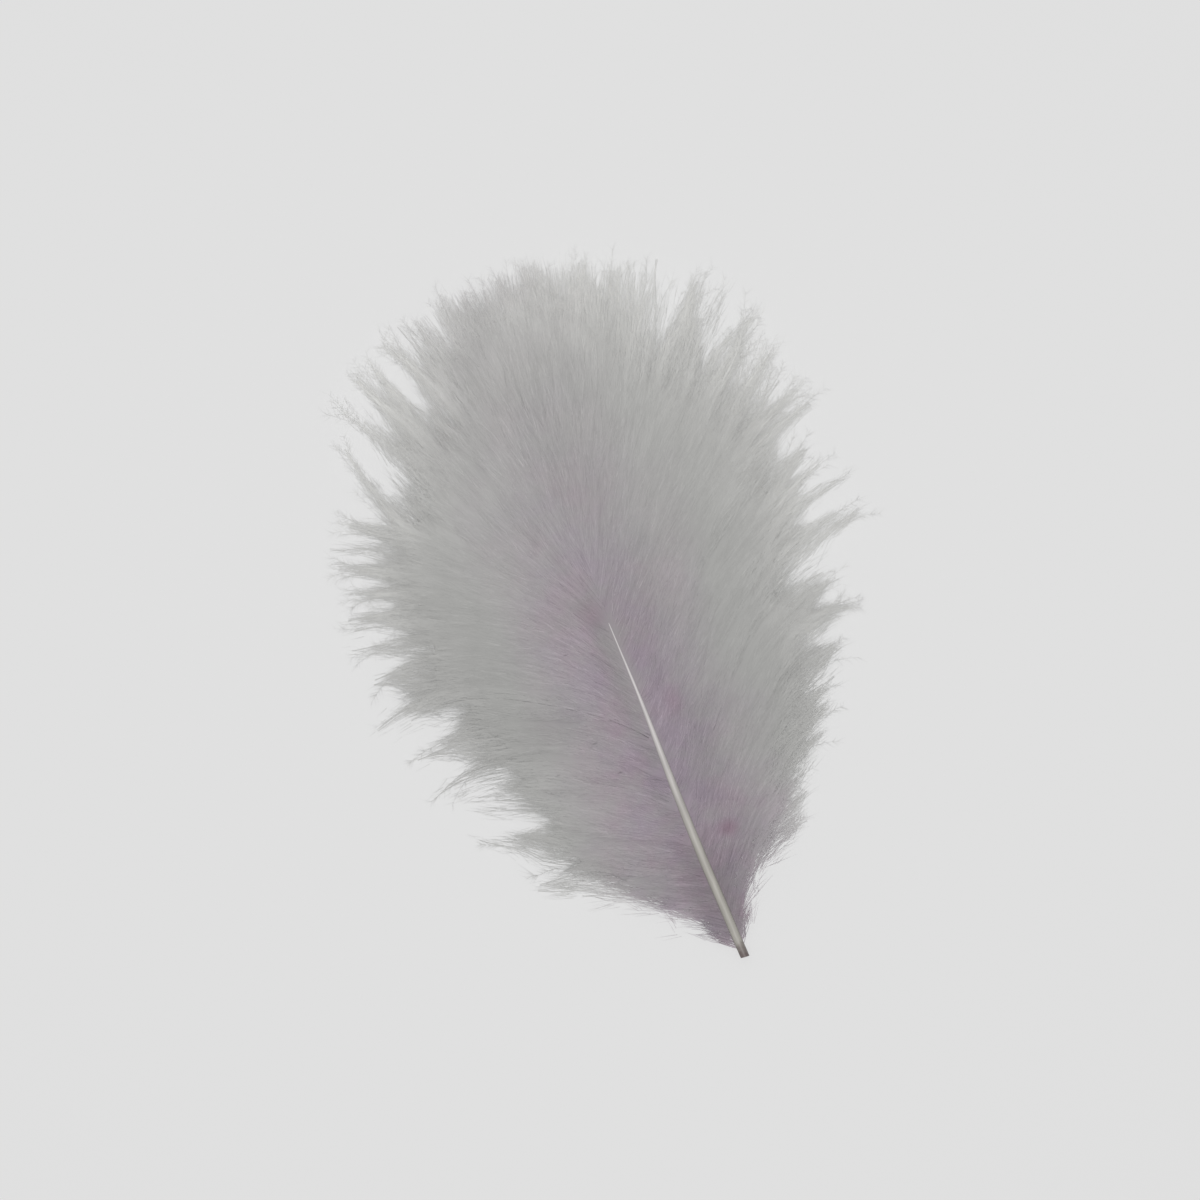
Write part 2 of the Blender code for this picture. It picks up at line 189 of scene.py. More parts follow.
# Where the dense down ends in the photograph, round the feather from its foot, with the notches between its
# locks. Past it only thin fluff is left.
DENSE_EDGE = (
    (1.2, -60.2), (-0.4, -58.6), (-1.8, -56.8), (-2.8, -54.4), (-7.4, -51.5), (-9.6, -49.5), (-14.6, -45.4),
    (-19.5, -41.6), (-25, -41), (-25, -39.5), (-21.4, -37.6), (-25.4, -34), (-31, -30), (-25, -30.5),
    (-24, -29.3), (-26, -25.5), (-29, -22.3), (-27, -20.5), (-31, -19.3), (-33, -18), (-31, -16),
    (-33, -14), (-36, -12.5), (-33.5, -10.5), (-34, -7.5), (-40, -4.5), (-41, -2), (-40.5, 0), (-38, 1.5),
    (-37, 3.5), (-39.5, 5.5), (-43, 6.8), (-38, 7.3), (-37, 9), (-38.5, 10.8), (-43, 11.3), (-43, 13),
    (-38, 13), (-40.5, 16), (-38.5, 16.2), (-37.5, 19), (-40, 21), (-41, 21.5), (-37, 21.8), (-37, 23.5),
    (-39.5, 24.5), (-38, 25.5), (-36.5, 26.5), (-34, 27), (-34, 30), (-34.5, 34.5), (-33, 33), (-31, 30.5),
    (-29.2, 31), (-28.7, 36), (-30.5, 40), (-31, 43), (-28, 42.5), (-28.3, 46), (-29.5, 50.5), (-28, 51.5),
    (-26.5, 50), (-24.2, 46.8), (-21, 42.8), (-20, 43.2), (-20.6, 46.5), (-22.3, 51), (-24.2, 55),
    (-22, 54.2), (-20, 53), (-18.5, 53.5), (-18, 57), (-15.5, 55.5), (-13.5, 56), (-13, 59.5), (-8, 59.7),
    (-1, 60.2), (2, 62), (5, 60.8), (8, 58.5), (12, 58.3), (14, 55.5), (16.5, 56), (17, 51.5), (19.5, 51),
    (20, 46), (21.5, 42.3), (24.5, 44.5), (28.3, 49.8), (30.8, 50.5), (29.3, 43.5), (27.5, 37.2),
    (33, 37.8), (31.5, 31.8), (34.8, 32.2), (34, 28.2), (38, 27.3), (39.5, 25.3), (36, 23), (34.5, 18.5),
    (38, 18.3), (36.5, 14.5), (38.8, 14), (37, 12), (36, 9.6), (38.5, 10.3), (43, 12), (45.6, 12.4),
    (46, 11.4), (43.2, 10.8), (38.5, 8.8), (35.5, 7.6), (36, 5), (39, 7), (45.5, 7.5), (45.5, 3.3),
    (37, 2.5), (32, -1), (33, -3.2), (38, -4.4), (36, -7.5), (39.5, -9.5), (32.5, -12.3), (34.5, -14.5),
    (34.5, -17), (30, -21), (29.3, -26), (27, -30), (23, -34), (20.5, -41), (18, -45), (11.8, -47),
    (9.2, -49.4), (8, -53), (6.5, -58), (5.2, -59.3),
)
# The share of each kind of barbule that is left, by the distance inside that edge, outside it less than 0
EDGE_SHARES = {
    "body": ((1.6, 0), (5.5, 1)),
    "rim": ((-8, 0.09), (-4, 0.12), (-2, 0.15), (-1, 0.2), (0, 0.3), (1, 0.45), (2.5, 0.66), (4, 1)),
}
# How the edge changes along the feather: y, how sharp it is against the upper rim, how far it is drawn in
SHARPNESS = ((-58, 4.5, 0), (-52, 3.8, 0.2), (-44, 3.4, 0.3), (-37, 2, 0.1), (-28, 1, 0))
SOFTER = ((3, 14), (1, 0.4))  # x, and how much of that holds there
# Open places between the locks, and fuller tips: the ends of a line, its reach and how much down is there
CLEARINGS = (
    (38.5, 5, 45, 5.6, 1.2, 1.6), (-2, -55.4, -12, -47.9, 1.6, 0.48), (-13, -46.4, -19.5, -42, 1.4, 0.7),
    (-29.4, -31.7, -25.5, -34.8, 1.1, 0.6), (-29.5, -30.2, -32, -30.6, 0.7, 1.6),
    (17.2, 54, 18.6, 49, 1.2, 0.7), (19, -41.8, 13.5, -45.6, 1.5, 0.65),
    (23.2, -34.2, 24.8, -33.4, 1.2, 0.6), (31.6, -20.6, 29.4, -23, 1.4, 0.5),
    (-30.6, 4, -35, 4.5, 1.3, 0.6), (-29, -7.6, -33.5, -12, 1.5, 0.75), (-29, -31.5, -21, -30.6, 1.2, 0.7),
    (-27, -24.5, -29, -25.5, 1.6, 0.7), (32, -4, 27, -3.4, 1.6, 0.65), (33, -12.8, 30, -13.2, 1.2, 0.7),
    (36.6, 28.4, 38.4, 28.8, 1.5, 0.42), (-38.5, 14.6, -34.5, 15.2, 1, 0.65),
    (-38, 22.8, -33.5, 22, 1.1, 0.7), (37, 10.6, 40, 11.2, 0.9, 0.45), (-40.5, -4, -39.5, 0, 2.2, 2.5),
    (-38, 17.8, -39.5, 19.5, 1.8, 2.4), (25, 50.5, 26, 54, 1.6, 1.5), (31, 46, 31.8, 48.5, 1.4, 2.3),
    (7, -52, 7.6, -54.5, 0.8, 1.8), (-24, -40.2, -27, -41.4, 0.9, 1.5), (36.5, 8.8, 46, 12, 0.5, 1.3),
    (35, 24.5, 40, 24.5, 1.6, 1.8), (35.5, 18.2, 38.5, 18, 1.8, 2.6), (33.5, -6, 37, -5.5, 1.5, 1.8),
    (36, -9.6, 39.5, -9.8, 0.8, 1.6), (33.5, -15.5, 35.5, -17, 1.5, 1.8),
    (30.9, -21.5, 28.2, -30, 1.2, 2.2), (-36.5, 18, -41.5, 19, 1.8, 2.4), (-38, -3, -42, -3.5, 2, 2),
    (-26.6, 46, -27.2, 50, 1, 1.8), (-20, -36.8, -23, -37, 1.5, 1.6), (-3, -53.5, -1, -58, 1.2, 2.4),
    (21.8, -39.5, 19.5, -43.5, 0.9, 2.6), (19, -38.5, 17.5, -42.5, 1.5, 0.8), (7.5, -53, 6.5, -57, 1, 2),
    (34.5, -8.5, 35.5, -12.5, 1.5, 1.7), (-41, 11.8, -43.5, 11.8, 0.8, 2.2),
    (-18.3, 45.5, -17.8, 49.5, 1.6, 2.3), (-22.5, 39, -26, 46, 1.3, 1.5), (-34, -10, -31, -11.5, 1.5, 0.55),
    (-33, 4, -37.5, 6.8, 1.6, 0.65), (-35.5, 23, -33, 23, 1.5, 0.65), (-30, 26.5, -30, 30, 1.5, 0.65),
    (-31.5, 45, -32.5, 52, 1.3, 0.35), (20, 51, 22.5, 57.5, 1.3, 0.6), (31.5, 36, 36.5, 42, 2.2, 0.5),
    (-28.5, 34, -29, 41, 1.5, 0.55), (-15.5, 50, -15, 55, 1.4, 0.75), (-43, 1.5, -41, 2.5, 1.2, 0.4),
    (21, -34.5, 22.5, -34, 1.3, 0.5), (9.5, -50.5, 12, -47.8, 1.1, 0.25),
    (-21.3, 44.5, -24.6, 51.6, 1.5, 0.04), (-20.6, 55.5, -21.9, 60, 1.2, 0.15),
    (-21.5, -43.6, -14.5, -47.6, 1, 0.3), (-10.5, -51, -3.5, -55.6, 0.9, 0.3),
    (-26.5, 47.5, -29, 43, 1, 0.7), (-15.5, 57.5, -18, 62, 1.6, 0.45), (29.5, -20.5, 31.5, -22, 0.9, 0.4),
    (-45, 7.6, -40, 8, 0.8, 0.4), (-42.5, -5.2, -39.5, -6, 1.2, 0.4), (-29.5, 31.5, -29, 36.5, 1, 0.6),
    (40.5, 5.6, 46.5, 7, 1.3, 2), (24.4, 52.5, 25.6, 58.5, 1.6, 0.2), (36.9, 15.2, 38.6, 15.6, 0.9, 0.3),
    (39, 12, 45, 14.2, 1.1, 0.1), (-46.5, 21, -44, 27.5, 1.8, 0.35), (-47, 13.5, -44, 14.2, 0.9, 0.4),
    (-36, 4.4, -31, 4, 1.1, 0.7), (-14.6, 51.5, -14.2, 57.5, 1.2, 0.7),
    (30.5, -12.8, 32.5, -13.2, 0.9, 0.7), (38.5, 44, 40, 38, 1.8, 1.8), (-31.2, 32.5, -33, 42, 1.8, 0.1),
    (-42, -7, -31, -7.8, 1.3, 0.25), (-32, -20.8, -27, -20.5, 1.6, 0.2),
    (-34.5, -27.6, -23.6, -29.6, 2.1, 0.12), (-32.5, -22.5, -28.4, -25.2, 2, 0.3),
    (22.5, 45, 26.5, 51, 1.2, 0.25), (27.8, 38.5, 31, 46, 0.9, 0.2), (37.8, 22, 35.5, 18.5, 1.4, 0.3),
    (45, 9.6, 37.3, 7, 1.5, 0.1), (39, 1.5, 32.5, -2.2, 1.4, 0.25), (36, 7, 38.5, 4.8, 1.2, 0.2),
    (-43, 9.3, -38, 9.2, 1.1, 0.15), (-42, 3.8, -37.5, 3.8, 1.2, 0.3), (-31, -34, -22, -38, 1, 0.4),
)
CLEARED_BY = (0.4, 1.4)  # the shares of its reach up to which it holds in full, and from which not at all
EDGE_GRID = 0.25
GRID_BOX = ((-56.0, -70.0), (56.0, 72.0))
DOWN_PIECES = ("down_left_foot", "down_left_tip", "down_right_tip", "down_right_foot")
MOST_BARBULES = 49500  # in a piece

# Darker and lighter places in the down: x, y, reach across and along the feather, how bright the middle is
# The broad lighter places near the rim and the top are painted light, as if light shone through the thin down
SHADES = (
    (-5, 3, 2.6, 2.8, 0.95), (-3, 0.2, 2.2, 2.6, 0.93), (3.8, -11, 3.5, 7.5, 0.94),
    (5.5, -16.5, 3, 4.5, 0.95), (4, -31, 3.5, 5, 0.94), (7.8, -40.2, 2.4, 2, 0.87), (11, 4, 9, 8, 1.07),
    (11, -10, 6, 6, 0.975), (-6.5, -2.5, 3.5, 5, 1.05), (-6, 17, 4, 7, 1.04), (-9.8, -19.7, 0.7, 0.25, 0.7),
    (-7.1, -25.7, 0.7, 0.25, 0.7), (-10.2, -3.8, 0.7, 0.25, 0.75), (-17.4, -23.1, 0.7, 0.25, 0.75),
    (4, -47, 9, 12, 0.86), (-15, -15.5, 10, 8, 0.9), (8, -26, 5.5, 22, 0.92), (-24, 5, 10, 15, 0.95),
    (-16, 33, 8, 10, 0.96), (2, 58, 24, 22, 1.16), (10, 54, 8, 10, 1.05), (-3, 53, 7, 8, 1.05),
    (-13.5, 54, 3.5, 6, 1.06), (28, 36, 6, 8, 1.07), (28.5, -9, 7, 11, 1.08), (-30, 25, 6.5, 5.5, 1.09),
    (26, 27, 5, 7, 1.04), (14, 33, 5, 8, 0.97), (-22.5, -31, 6, 3, 1.1), (-21, -23, 9, 3.5, 1.05),
    (-31, 4, 3, 2.5, 1.06), (36, 12, 18, 36, 1.18), (20, -42, 10, 12, 1.16), (17, -42.5, 5, 6, 1.11),
    (-4.5, -22, 3.5, 14, 1.03), (-30.5, -12.5, 5.5, 7, 1.08), (-21.5, 41, 5, 7, 0.96),
    (-20, -46, 18, 10, 1.18), (-5, -52.5, 6, 4, 1.3), (-37, 14, 6, 14, 1.05),
)

# Pinker places in the down: x, y, reach across and along the feather, how pink the middle is
BLUSHES = ((7.8, -40.1, 2.9, 2.4, 1), (-3.9, 1.4, 3.4, 4.2, 0.45), (5.2, -16.5, 2.6, 4, 0.4))

# How bright the down is along the feather: from one y to another, and how bright it is at each
# The second row is painted light: it lifts the top, as if light shone through the thin down there
LENGTH_SHADES = ((-30, 42, 0.83, 0.92), (15, 58, 1, 1.16))
# How bright it is by the distance inside its edge: from one to another, and how bright it is at each
# Painted light: 3 % lighter up to 4.5 mm inside the edge, where the deeper fluff is shaded, and a little
# darker past 9.5 mm
DEPTH_PAINTED_LIGHT = (4.5, 9.5, 1.03, 0.985)

# The map that looks are baked to: how much it is sheared by height, its corner and its size
MAP_SHEAR, MAP_CORNER, MAP_SIZE = (0.2, 0.15), (-52.0, -66.0), (106.0, 134.0)

# The camera: the photograph looks straight down, turned by the angle of the feather in it
VIEW_CENTRE, VIEW_TURN, VIEW_HEIGHT = (-1.8, 3.5), -17.0, 1600.0
VIEW_PLANE, VIEW_WIDTH = 3.0, 205.2  # a height, and what the picture is wide there
# The light: a small lamp by the camera's line, and an even white sky
LAMP_OFF, LAMP_HEIGHT, LAMP_WIDTH, LAMP_POWER = (-10.0, 15.0), 2300.0, 120.0, 43.0
SKY = 0.2
FLOOR = 4000.0


def unit(vectors):
    """Vectors made one long."""
    return vectors / np.linalg.norm(vectors, axis=-1, keepdims=True)


def crosswise(lie):
    """The directions that point right of some directions, and up from them."""
    out = unit(np.cross(lie, (0.0, 0.0, 1.0)))
    return out, np.cross(out, lie)


def rows_at(wanted, known, rows):
    """The rows of a table, which belong to known places, read at wanted ones."""
    return np.column_stack([np.interp(wanted, known, column) for column in np.transpose(rows)])


def lengths(places):
    """How far along a line of places each of them is."""
    return np.concatenate(([0.0], np.cumsum(np.linalg.norm(np.diff(places, axis=0), axis=1))))


def bezier(path, shares):
    """Places on a cubic curve and the directions there, a row for each share."""
    a, b, c, d = path
    share = shares[:, None]
    rest = 1.0 - share
    place = a * rest**3 + 3 * b * rest**2 * share + 3 * c * rest * share**2 + d * share**3
    heading = (b - a) * rest**2 + 2 * (c - b) * rest * share + (d - c) * share**2
    return place, unit(heading)


def shaft_at(y):
    """The x and the height of the shaft's middle at places along the feather."""
    rows = np.array(SHAFT)
    return np.interp(y, rows[:, 1], rows[:, 0]), np.interp(y, rows[:, 1], rows[:, 2])


def lock_path(row, side):
    """A lock's path seen from above: its root, two handles and its tip."""
    tip_x, tip_y, root_y, leave, arrive = row[:5]
    root = np.array((float(shaft_at(root_y)[0]), root_y))
    tip = np.array((tip_x, tip_y))
    reach = HANDLE * np.linalg.norm(tip - root)
    first, last = (np.array((side * sin(radians(turn)), cos(radians(turn)))) for turn in (leave, arrive))
    return root, root + first * reach, tip - last * reach, tip


class Lock:
    """One lock of down: its path, its reach to either side, its height, and the tufts that it ends in."""

    def __init__(self, number, row, path, before, after, rng):
        self.number, self.split, tip_height = number, row[5], row[6]
        self.shares = np.linspace(0.0, PAST_TIP, LOCK_STEPS)
        self.tip = path[-1]
        self.place, self.heading = bezier(path, self.shares)
        self.along = lengths(self.place)
        self.length = float(np.interp(1.0, self.shares, self.along))
        self.before = self.reach(before)
        self.after = self.reach(after)
        self.crest = self.heights(row[2], tip_height)
        self.set_tufts(rng)

    def reach(self, neighbour):
        """How far the lock goes towards a neighbour, which is None past the first and the last lock."""
        if neighbour is None:
            return np.full(LOCK_STEPS, EDGE_WIDTH)
        others = bezier(neighbour, np.linspace(0.0, 1.0, NEIGHBOUR_STEPS))[0]
        gaps = np.linalg.norm(self.place[:, None] - others[None], axis=2).min(axis=1)
        wide = np.clip(OVERLAP * gaps, THINNEST, WIDEST)
        parted = np.interp(self.split, self.shares, wide)
        return np.where(self.shares > self.split, parted, wide)

    def heights(self, root_y, tip_height):
        """The height of the lock's top all along it."""
        start = float(shaft_at(root_y)[1]) - DIP
        top = start + min(MOST_SWELL, SWELL * self.length)
        if root_y > COVERED_FROM:
            start += COVER
        shares = [self.split * share for share, _ in RISE]
        shares += [self.split + (1.0 - self.split) * share for share, _ in FALL]
        highs = [tip_height + high * (top - tip_height) for _, high in RISE + FALL]
        highs[0] = start
        rough = np.interp(self.shares, shares, highs)
        kernel = np.hanning(SMOOTHED) / np.hanning(SMOOTHED).sum()
        return np.convolve(np.pad(rough, SMOOTHED // 2, mode="edge"), kernel, mode="valid")

    def set_tufts(self, rng):
        """Parts the end of the lock into tufts, each with its own length and aim, one of them whole."""
        half = 0.5 * (self.before + self.after)[-1]
        count = int(np.clip(round(2.0 * half / TUFT_WIDTH), 1, MOST_TUFTS))
        middle = (np.arange(count) + 0.5) / count * 2.0 - 1.0
        self.end = 1.0 - rng.uniform(0.0, 1.0 - SHORTEST_TUFT, count) * (1.0 - self.split)
        self.aim = middle * half * TUFT_SPREAD * rng.uniform(*UNEVEN_AIM, count)
        whole = rng.integers(count)
        self.end[whole], self.aim[whole] = 1.0, WHOLE_AIM * self.aim[whole]
        self.turns, self.phase = rng.uniform(*WAVES), rng.uniform(0.0, 2.0 * pi)
        self.gather = float(np.interp(self.split, GATHERED, (1.0, 0.0)))

    def at(self, share, values):
        """Some value of the lock at places along it."""
        return np.interp(share, self.shares, values)

    def tuft(self, across):
        """The tuft that each place across the lock belongs to."""
        count = len(self.end)
        return np.clip(((across + 1.0) * 0.5 * count).astype(int), 0, count - 1)

    def free(self, across, share):
        """How far into the free end of its tuft each place is, from 0 to 1."""
        return np.clip((share - self.split) / (self.end[self.tuft(across)] - self.split), 0.0, 1.0)

    def spots(self, across, share, astray=0.0):
        """Places on the lock's surface: across from -1 to 1, share from 0 to 1, astray in millimetres."""
        middle = rows_at(share, self.shares, self.place)
        heading = unit(rows_at(share, self.shares, self.heading))
        out = np.stack([heading[:, 1], -heading[:, 0]], axis=1)
        free = self.free(across, share)
        half = np.where(across > 0.0, self.at(share, self.after), self.at(share, self.before))
        aim = self.aim[self.tuft(across)] * free * self.gather
        side = across * half * (1.0 - self.gather * free**NARROWING) + aim + astray
        sway = np.sin(2.0 * pi * self.turns * share + self.phase + WAVE_LAG * across)
        side = side + WAVE * sway * np.minimum(1.0, 4.0 * share) * min(1.0, self.length / WAVED_FROM)
        high = self.at(share, self.crest) * (1.0 - (CROWN[0] + CROWN[1] * free) * np.minimum(across**2, 1.2))
        return np.column_stack([middle + out * side[:, None], high])

    def strand(self, across, share, random):
        """What a fibre's look depends on: its place among all the barbs, its place along them, and chance."""
        chain = self.number + OVERLAP * across
        return np.column_stack([chain, self.at(share, self.along), random])

    def area(self, ramp, densities):
        """How much down the lock holds up to each share, at a density that changes along it."""
        first, last = densities
        density = np.interp(self.shares, ramp, (first, 1.0, 1.0, last))
        density[(self.shares < ramp[0]) | (self.shares > ramp[-1])] = 0.0
        narrow = np.clip((1.0 - self.shares) / (1.0 - self.split), 0.2, 1.0)
        strips = density * (self.before + self.after) * narrow
        strips = 0.5 * (strips[1:] + strips[:-1]) * np.diff(self.along)
        return np.concatenate(([0.0], np.cumsum(strips)))


def make_locks():
    """All the locks, round the feather from its foot up the left side and down the right one."""
    rng = np.random.default_rng(LOCK_SEED)
    rows = LEFT_LOCKS + RIGHT_LOCKS
    paths = [lock_path(row, side) for side, half in ((-1.0, LEFT_LOCKS), (1.0, RIGHT_LOCKS)) for row in half]
    befores, afters = [None] + paths[:-1], paths[1:] + [None]
    locks = [Lock(k, *parts, rng) for k, parts in enumerate(zip(rows, paths, befores, afters))]
    level(locks)
    return locks


def even_heights(places, locks):
    """The height of the down's even surface at some places, taken from the locks where they are joined."""
    joined = np.concatenate([lock.shares < lock.split for lock in locks])
    spots = np.concatenate([lock.place for lock in locks])[joined]
    highs = np.concatenate([lock.crest for lock in locks])[joined]
    apart = ((places[:, None] - spots[None]) ** 2).sum(axis=2)
    weights = np.exp(-0.5 * (apart - apart.min(axis=1, keepdims=True)) / EVENING**2)
    return (weights @ highs) / weights.sum(axis=1)


def level(locks):
    """Gives the locks one even surface where they are joined, between their feet and their free ends."""
    evens = [even_heights(lock.place, locks) for lock in locks]
    for lock, even in zip(locks, evens):
        known = (0.0, LEVEL_FROM, lock.split, 1.0)
        lock.crest += (even - lock.crest) * np.interp(lock.shares, known, LEVELLED)


LOCKS = make_locks()


def edge_grid():
    """How far inside the edge of the dense down the points of a grid are, less than 0 outside it."""
    x, y = np.meshgrid(*(np.arange(low, high, EDGE_GRID) for low, high in zip(*GRID_BOX)), indexing="ij")
    nearest, within = np.full(x.shape, 1e9), np.zeros(x.shape, dtype=bool)
    for (x0, y0), (x1, y1) in zip(DENSE_EDGE, DENSE_EDGE[1:] + DENSE_EDGE[:1]):
        way_x, way_y = x1 - x0, y1 - y0
        share = np.clip(((x - x0) * way_x + (y - y0) * way_y) / (way_x**2 + way_y**2), 0.0, 1.0)
        nearest = np.minimum(nearest, np.hypot(x - x0 - share * way_x, y - y0 - share * way_y))
        if way_y:
            within ^= ((y > y0) != (y > y1)) & (x < x0 + (y - y0) * way_x / way_y)
    heights, sharper, drawn_in = np.array(SHARPNESS).T
    held = np.interp(x, *SOFTER)
    sharper = 1.0 + (np.interp(y, heights, sharper) - 1.0) * held
    return (np.where(within, nearest, -nearest) - np.interp(y, heights, drawn_in) * held) * sharper


def inside_edge(spots):
    """How far inside the edge of the dense down places are, less than 0 outside it."""
    cells = np.round((spots[:, :2] - GRID_BOX[0]) / EDGE_GRID).astype(int)
    return EDGE[tuple(np.clip(cells, 0, np.array(EDGE.shape) - 1).T)]


EDGE = edge_grid()


def add_piece(name, mesh, material):
    """Links a finished mesh as a piece that stands for the solid and moves with its body."""
    piece = bpy.data.objects.new(name, mesh)
    bpy.context.scene.collection.objects.link(piece)
    mesh.materials.append(material)
    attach(piece, BODY)
    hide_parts(NODE)
    return piece


def add_fibres(name, points, faces, strand):
    """A piece of many small closed forms: points in millimetres, triangles, and each point's strand()."""
    mesh = bpy.data.meshes.new(name)
    mesh.vertices.add(len(points))
    mesh.vertices.foreach_set("co", (points * MM).astype(np.float32).ravel())
    mesh.loops.add(faces.size)
    mesh.loops.foreach_set("vertex_index", faces.astype(np.int32).ravel())
    mesh.polygons.add(len(faces))
    mesh.polygons.foreach_set("loop_start", np.arange(0, faces.size, 3, dtype=np.int32))
    mesh.update(calc_edges=True)
    add_strand(mesh, strand)
    flat_map(mesh, points, faces)
    mesh.shade_flat()
    add_piece(name, mesh, bpy.data.materials[DOWN])


def mesh_of(bm, name):
    """A mesh made of a finished bmesh."""
    mesh = bpy.data.meshes.new(name)
    bm.to_mesh(mesh)
    bm.free()
    return mesh


def points_of(mesh):
    """A mesh's points in millimetres."""
    points = np.empty(3 * len(mesh.vertices), dtype=np.float32)
    mesh.vertices.foreach_get("co", points)
    return points.reshape(-1, 3) / MM


def add_strand(mesh, strand):
    """Gives a mesh the attributes that the down's material reads."""
    held = mesh.attributes.new("strand", "FLOAT_VECTOR", "POINT")
    held.data.foreach_set("vector", strand.astype(np.float32).ravel())
    held = mesh.attributes.new("inside", "FLOAT", "POINT")
    held.data.foreach_set("value", inside_edge(points_of(mesh)).astype(np.float32))


def flat_map(mesh, points, faces):
    """A map of the feather seen from above, a little sheared so that upright faces keep some width."""
    spots = points[faces.ravel()]
    flat = (spots[:, :2] + np.outer(spots[:, 2], MAP_SHEAR) - MAP_CORNER) / MAP_SIZE
    mesh.uv_layers.new(name="OFBake").data.foreach_set("uv", flat.astype(np.float32).ravel())


NEEDLE_FACES = np.array(((0, 1, 2), (0, 3, 1), (1, 3, 2), (2, 3, 0)))


def needles(roots, ends, widths, undersides):
    """Closed needles of four faces, flat on top, or below where undersides says so."""
    out, up = crosswise(unit(ends - roots))
    half = 0.5 * widths[:, None]
    flip = np.where(undersides, -1.0, 1.0)[:, None]
    wide, deep = out * half * flip, up * half * NEEDLE_DEPTH * flip
    points = np.stack([roots - wide, roots + wide, roots - deep, ends], 1)
    faces = NEEDLE_FACES[None] + 4 * np.arange(len(roots))[:, None, None]
    return points.reshape(-1, 3), faces.reshape(-1, 3)


def strands(routes, radii):
    """Closed three-sided strands through rows of points, flat on top."""
    count, steps = routes.shape[:2]
    out, up = crosswise(unit(np.gradient(routes, axis=1)))
    corners = [cos(turn) * out + sin(turn) * up for turn in (pi / 6.0, 5.0 * pi / 6.0, 1.5 * pi)]
    points = np.stack([routes + corner * radii[..., None] for corner in corners], axis=2)
    first = 3 * np.arange(steps - 1)[:, None] + np.arange(3)
    after = 3 * np.arange(steps - 1)[:, None] + (np.arange(3) + 1) % 3
    halves = ((first, after, first + 3), (after, after + 3, first + 3))
    last = 3 * (steps - 1)
    ends = [[(0, 2, 1), (last, last + 1, last + 2)]]
    faces = np.concatenate([np.stack(half, axis=2).reshape(-1, 3) for half in halves] + ends)
    every = faces[None] + 3 * steps * np.arange(count)[:, None, None]
    return points.reshape(-1, 3), every.reshape(-1, 3)


class Tree:
    """A few words for building a material's nodes."""

    def __init__(self, name):
        self.material = bpy.data.materials.new(name)
        self.material.use_nodes = True
        self.tree = self.material.node_tree
        self.shader = self.tree.nodes["Principled BSDF"]

    def put(self, socket, value):
        """Links an output to a socket, or sets the socket's value."""
        if isinstance(value, bpy.types.NodeSocket):
            self.tree.links.new(value, socket)
        else:
            socket.default_value = value

    def node(self, kind, settings=(), inputs=()):
        """A node with its settings, and its inputs as values or as the outputs that they are linked to."""
        made = self.tree.nodes.new(kind)
        for name, value in dict(settings).items():
            setattr(made, name, value)
        for name, value in dict(inputs).items():
            self.put(made.inputs[name], value)
        return made

    def math(self, operation, first, second=0.0, third=0.0):
        """A Math node's result."""
        made = self.node("ShaderNodeMath", {"operation": operation}, {0: first, 1: second, 2: third})
        return made.outputs[0]

    def times(self, first, *others):
        """Values multiplied."""
        for other in others:
            first = self.math("MULTIPLY", first, other)
        return first

    def ramp(self, value, low, high, to_low=0.0, to_high=1.0):
        """A value carried smoothly from one range to another."""
        settings = {"interpolation_type": "SMOOTHSTEP"}
        inputs = {"Value": value, "From Min": low, "From Max": high, "To Min": to_low, "To Max": to_high}
        return self.node("ShaderNodeMapRange", settings, inputs).outputs["Result"]

    def mix(self, share, first, second, blend="MIX"):
        """Two colours mixed."""
        settings = {"data_type": "RGBA", "blend_type": blend}
        return self.node("ShaderNodeMix", settings, {0: share, 6: first, 7: second}).outputs[2]

    def away(self, place, x, y, wide, long):
        """How far a place is from a spot in millimetres, against the spot's reach across and along."""
        settings = {"Vector": place, "Scale": (1.0 / wide / MM, 1.0 / long / MM, 0.0)}
        settings["Location"] = (-x / wide, -y / long, 0.0)
        spot = self.node("ShaderNodeMapping", {}, settings).outputs[0]
        return self.node("ShaderNodeVectorMath", {"operation": "LENGTH"}, {0: spot}).outputs["Value"]

    def noise(self, vector, scale, detail=2.0, rough=0.5):
        """A noise pattern's value."""
        inputs = {"Vector": vector, "Scale": scale, "Detail": detail, "Roughness": rough}
        return self.node("ShaderNodeTexNoise", {}, inputs).outputs["Fac"]

    def lit(self, colour, light):
        """A colour made lighter or darker by a value."""
        grey = self.node("ShaderNodeCombineColor", {}, {"Red": light, "Green": light, "Blue": light})
        return self.mix(1.0, colour, grey.outputs["Color"], "MULTIPLY")

    def finish(self, colour, roughness, shine):
        """The material with its colour, its roughness and its shine."""
        for name, value in (("Base Color", colour), ("Roughness", roughness), ("Specular IOR Level", shine)):
            self.put(self.shader.inputs[name], value)
        return self.material


def opaque(colour):
    """A colour that nothing shows through."""
    return tuple(colour) + (1.0,)


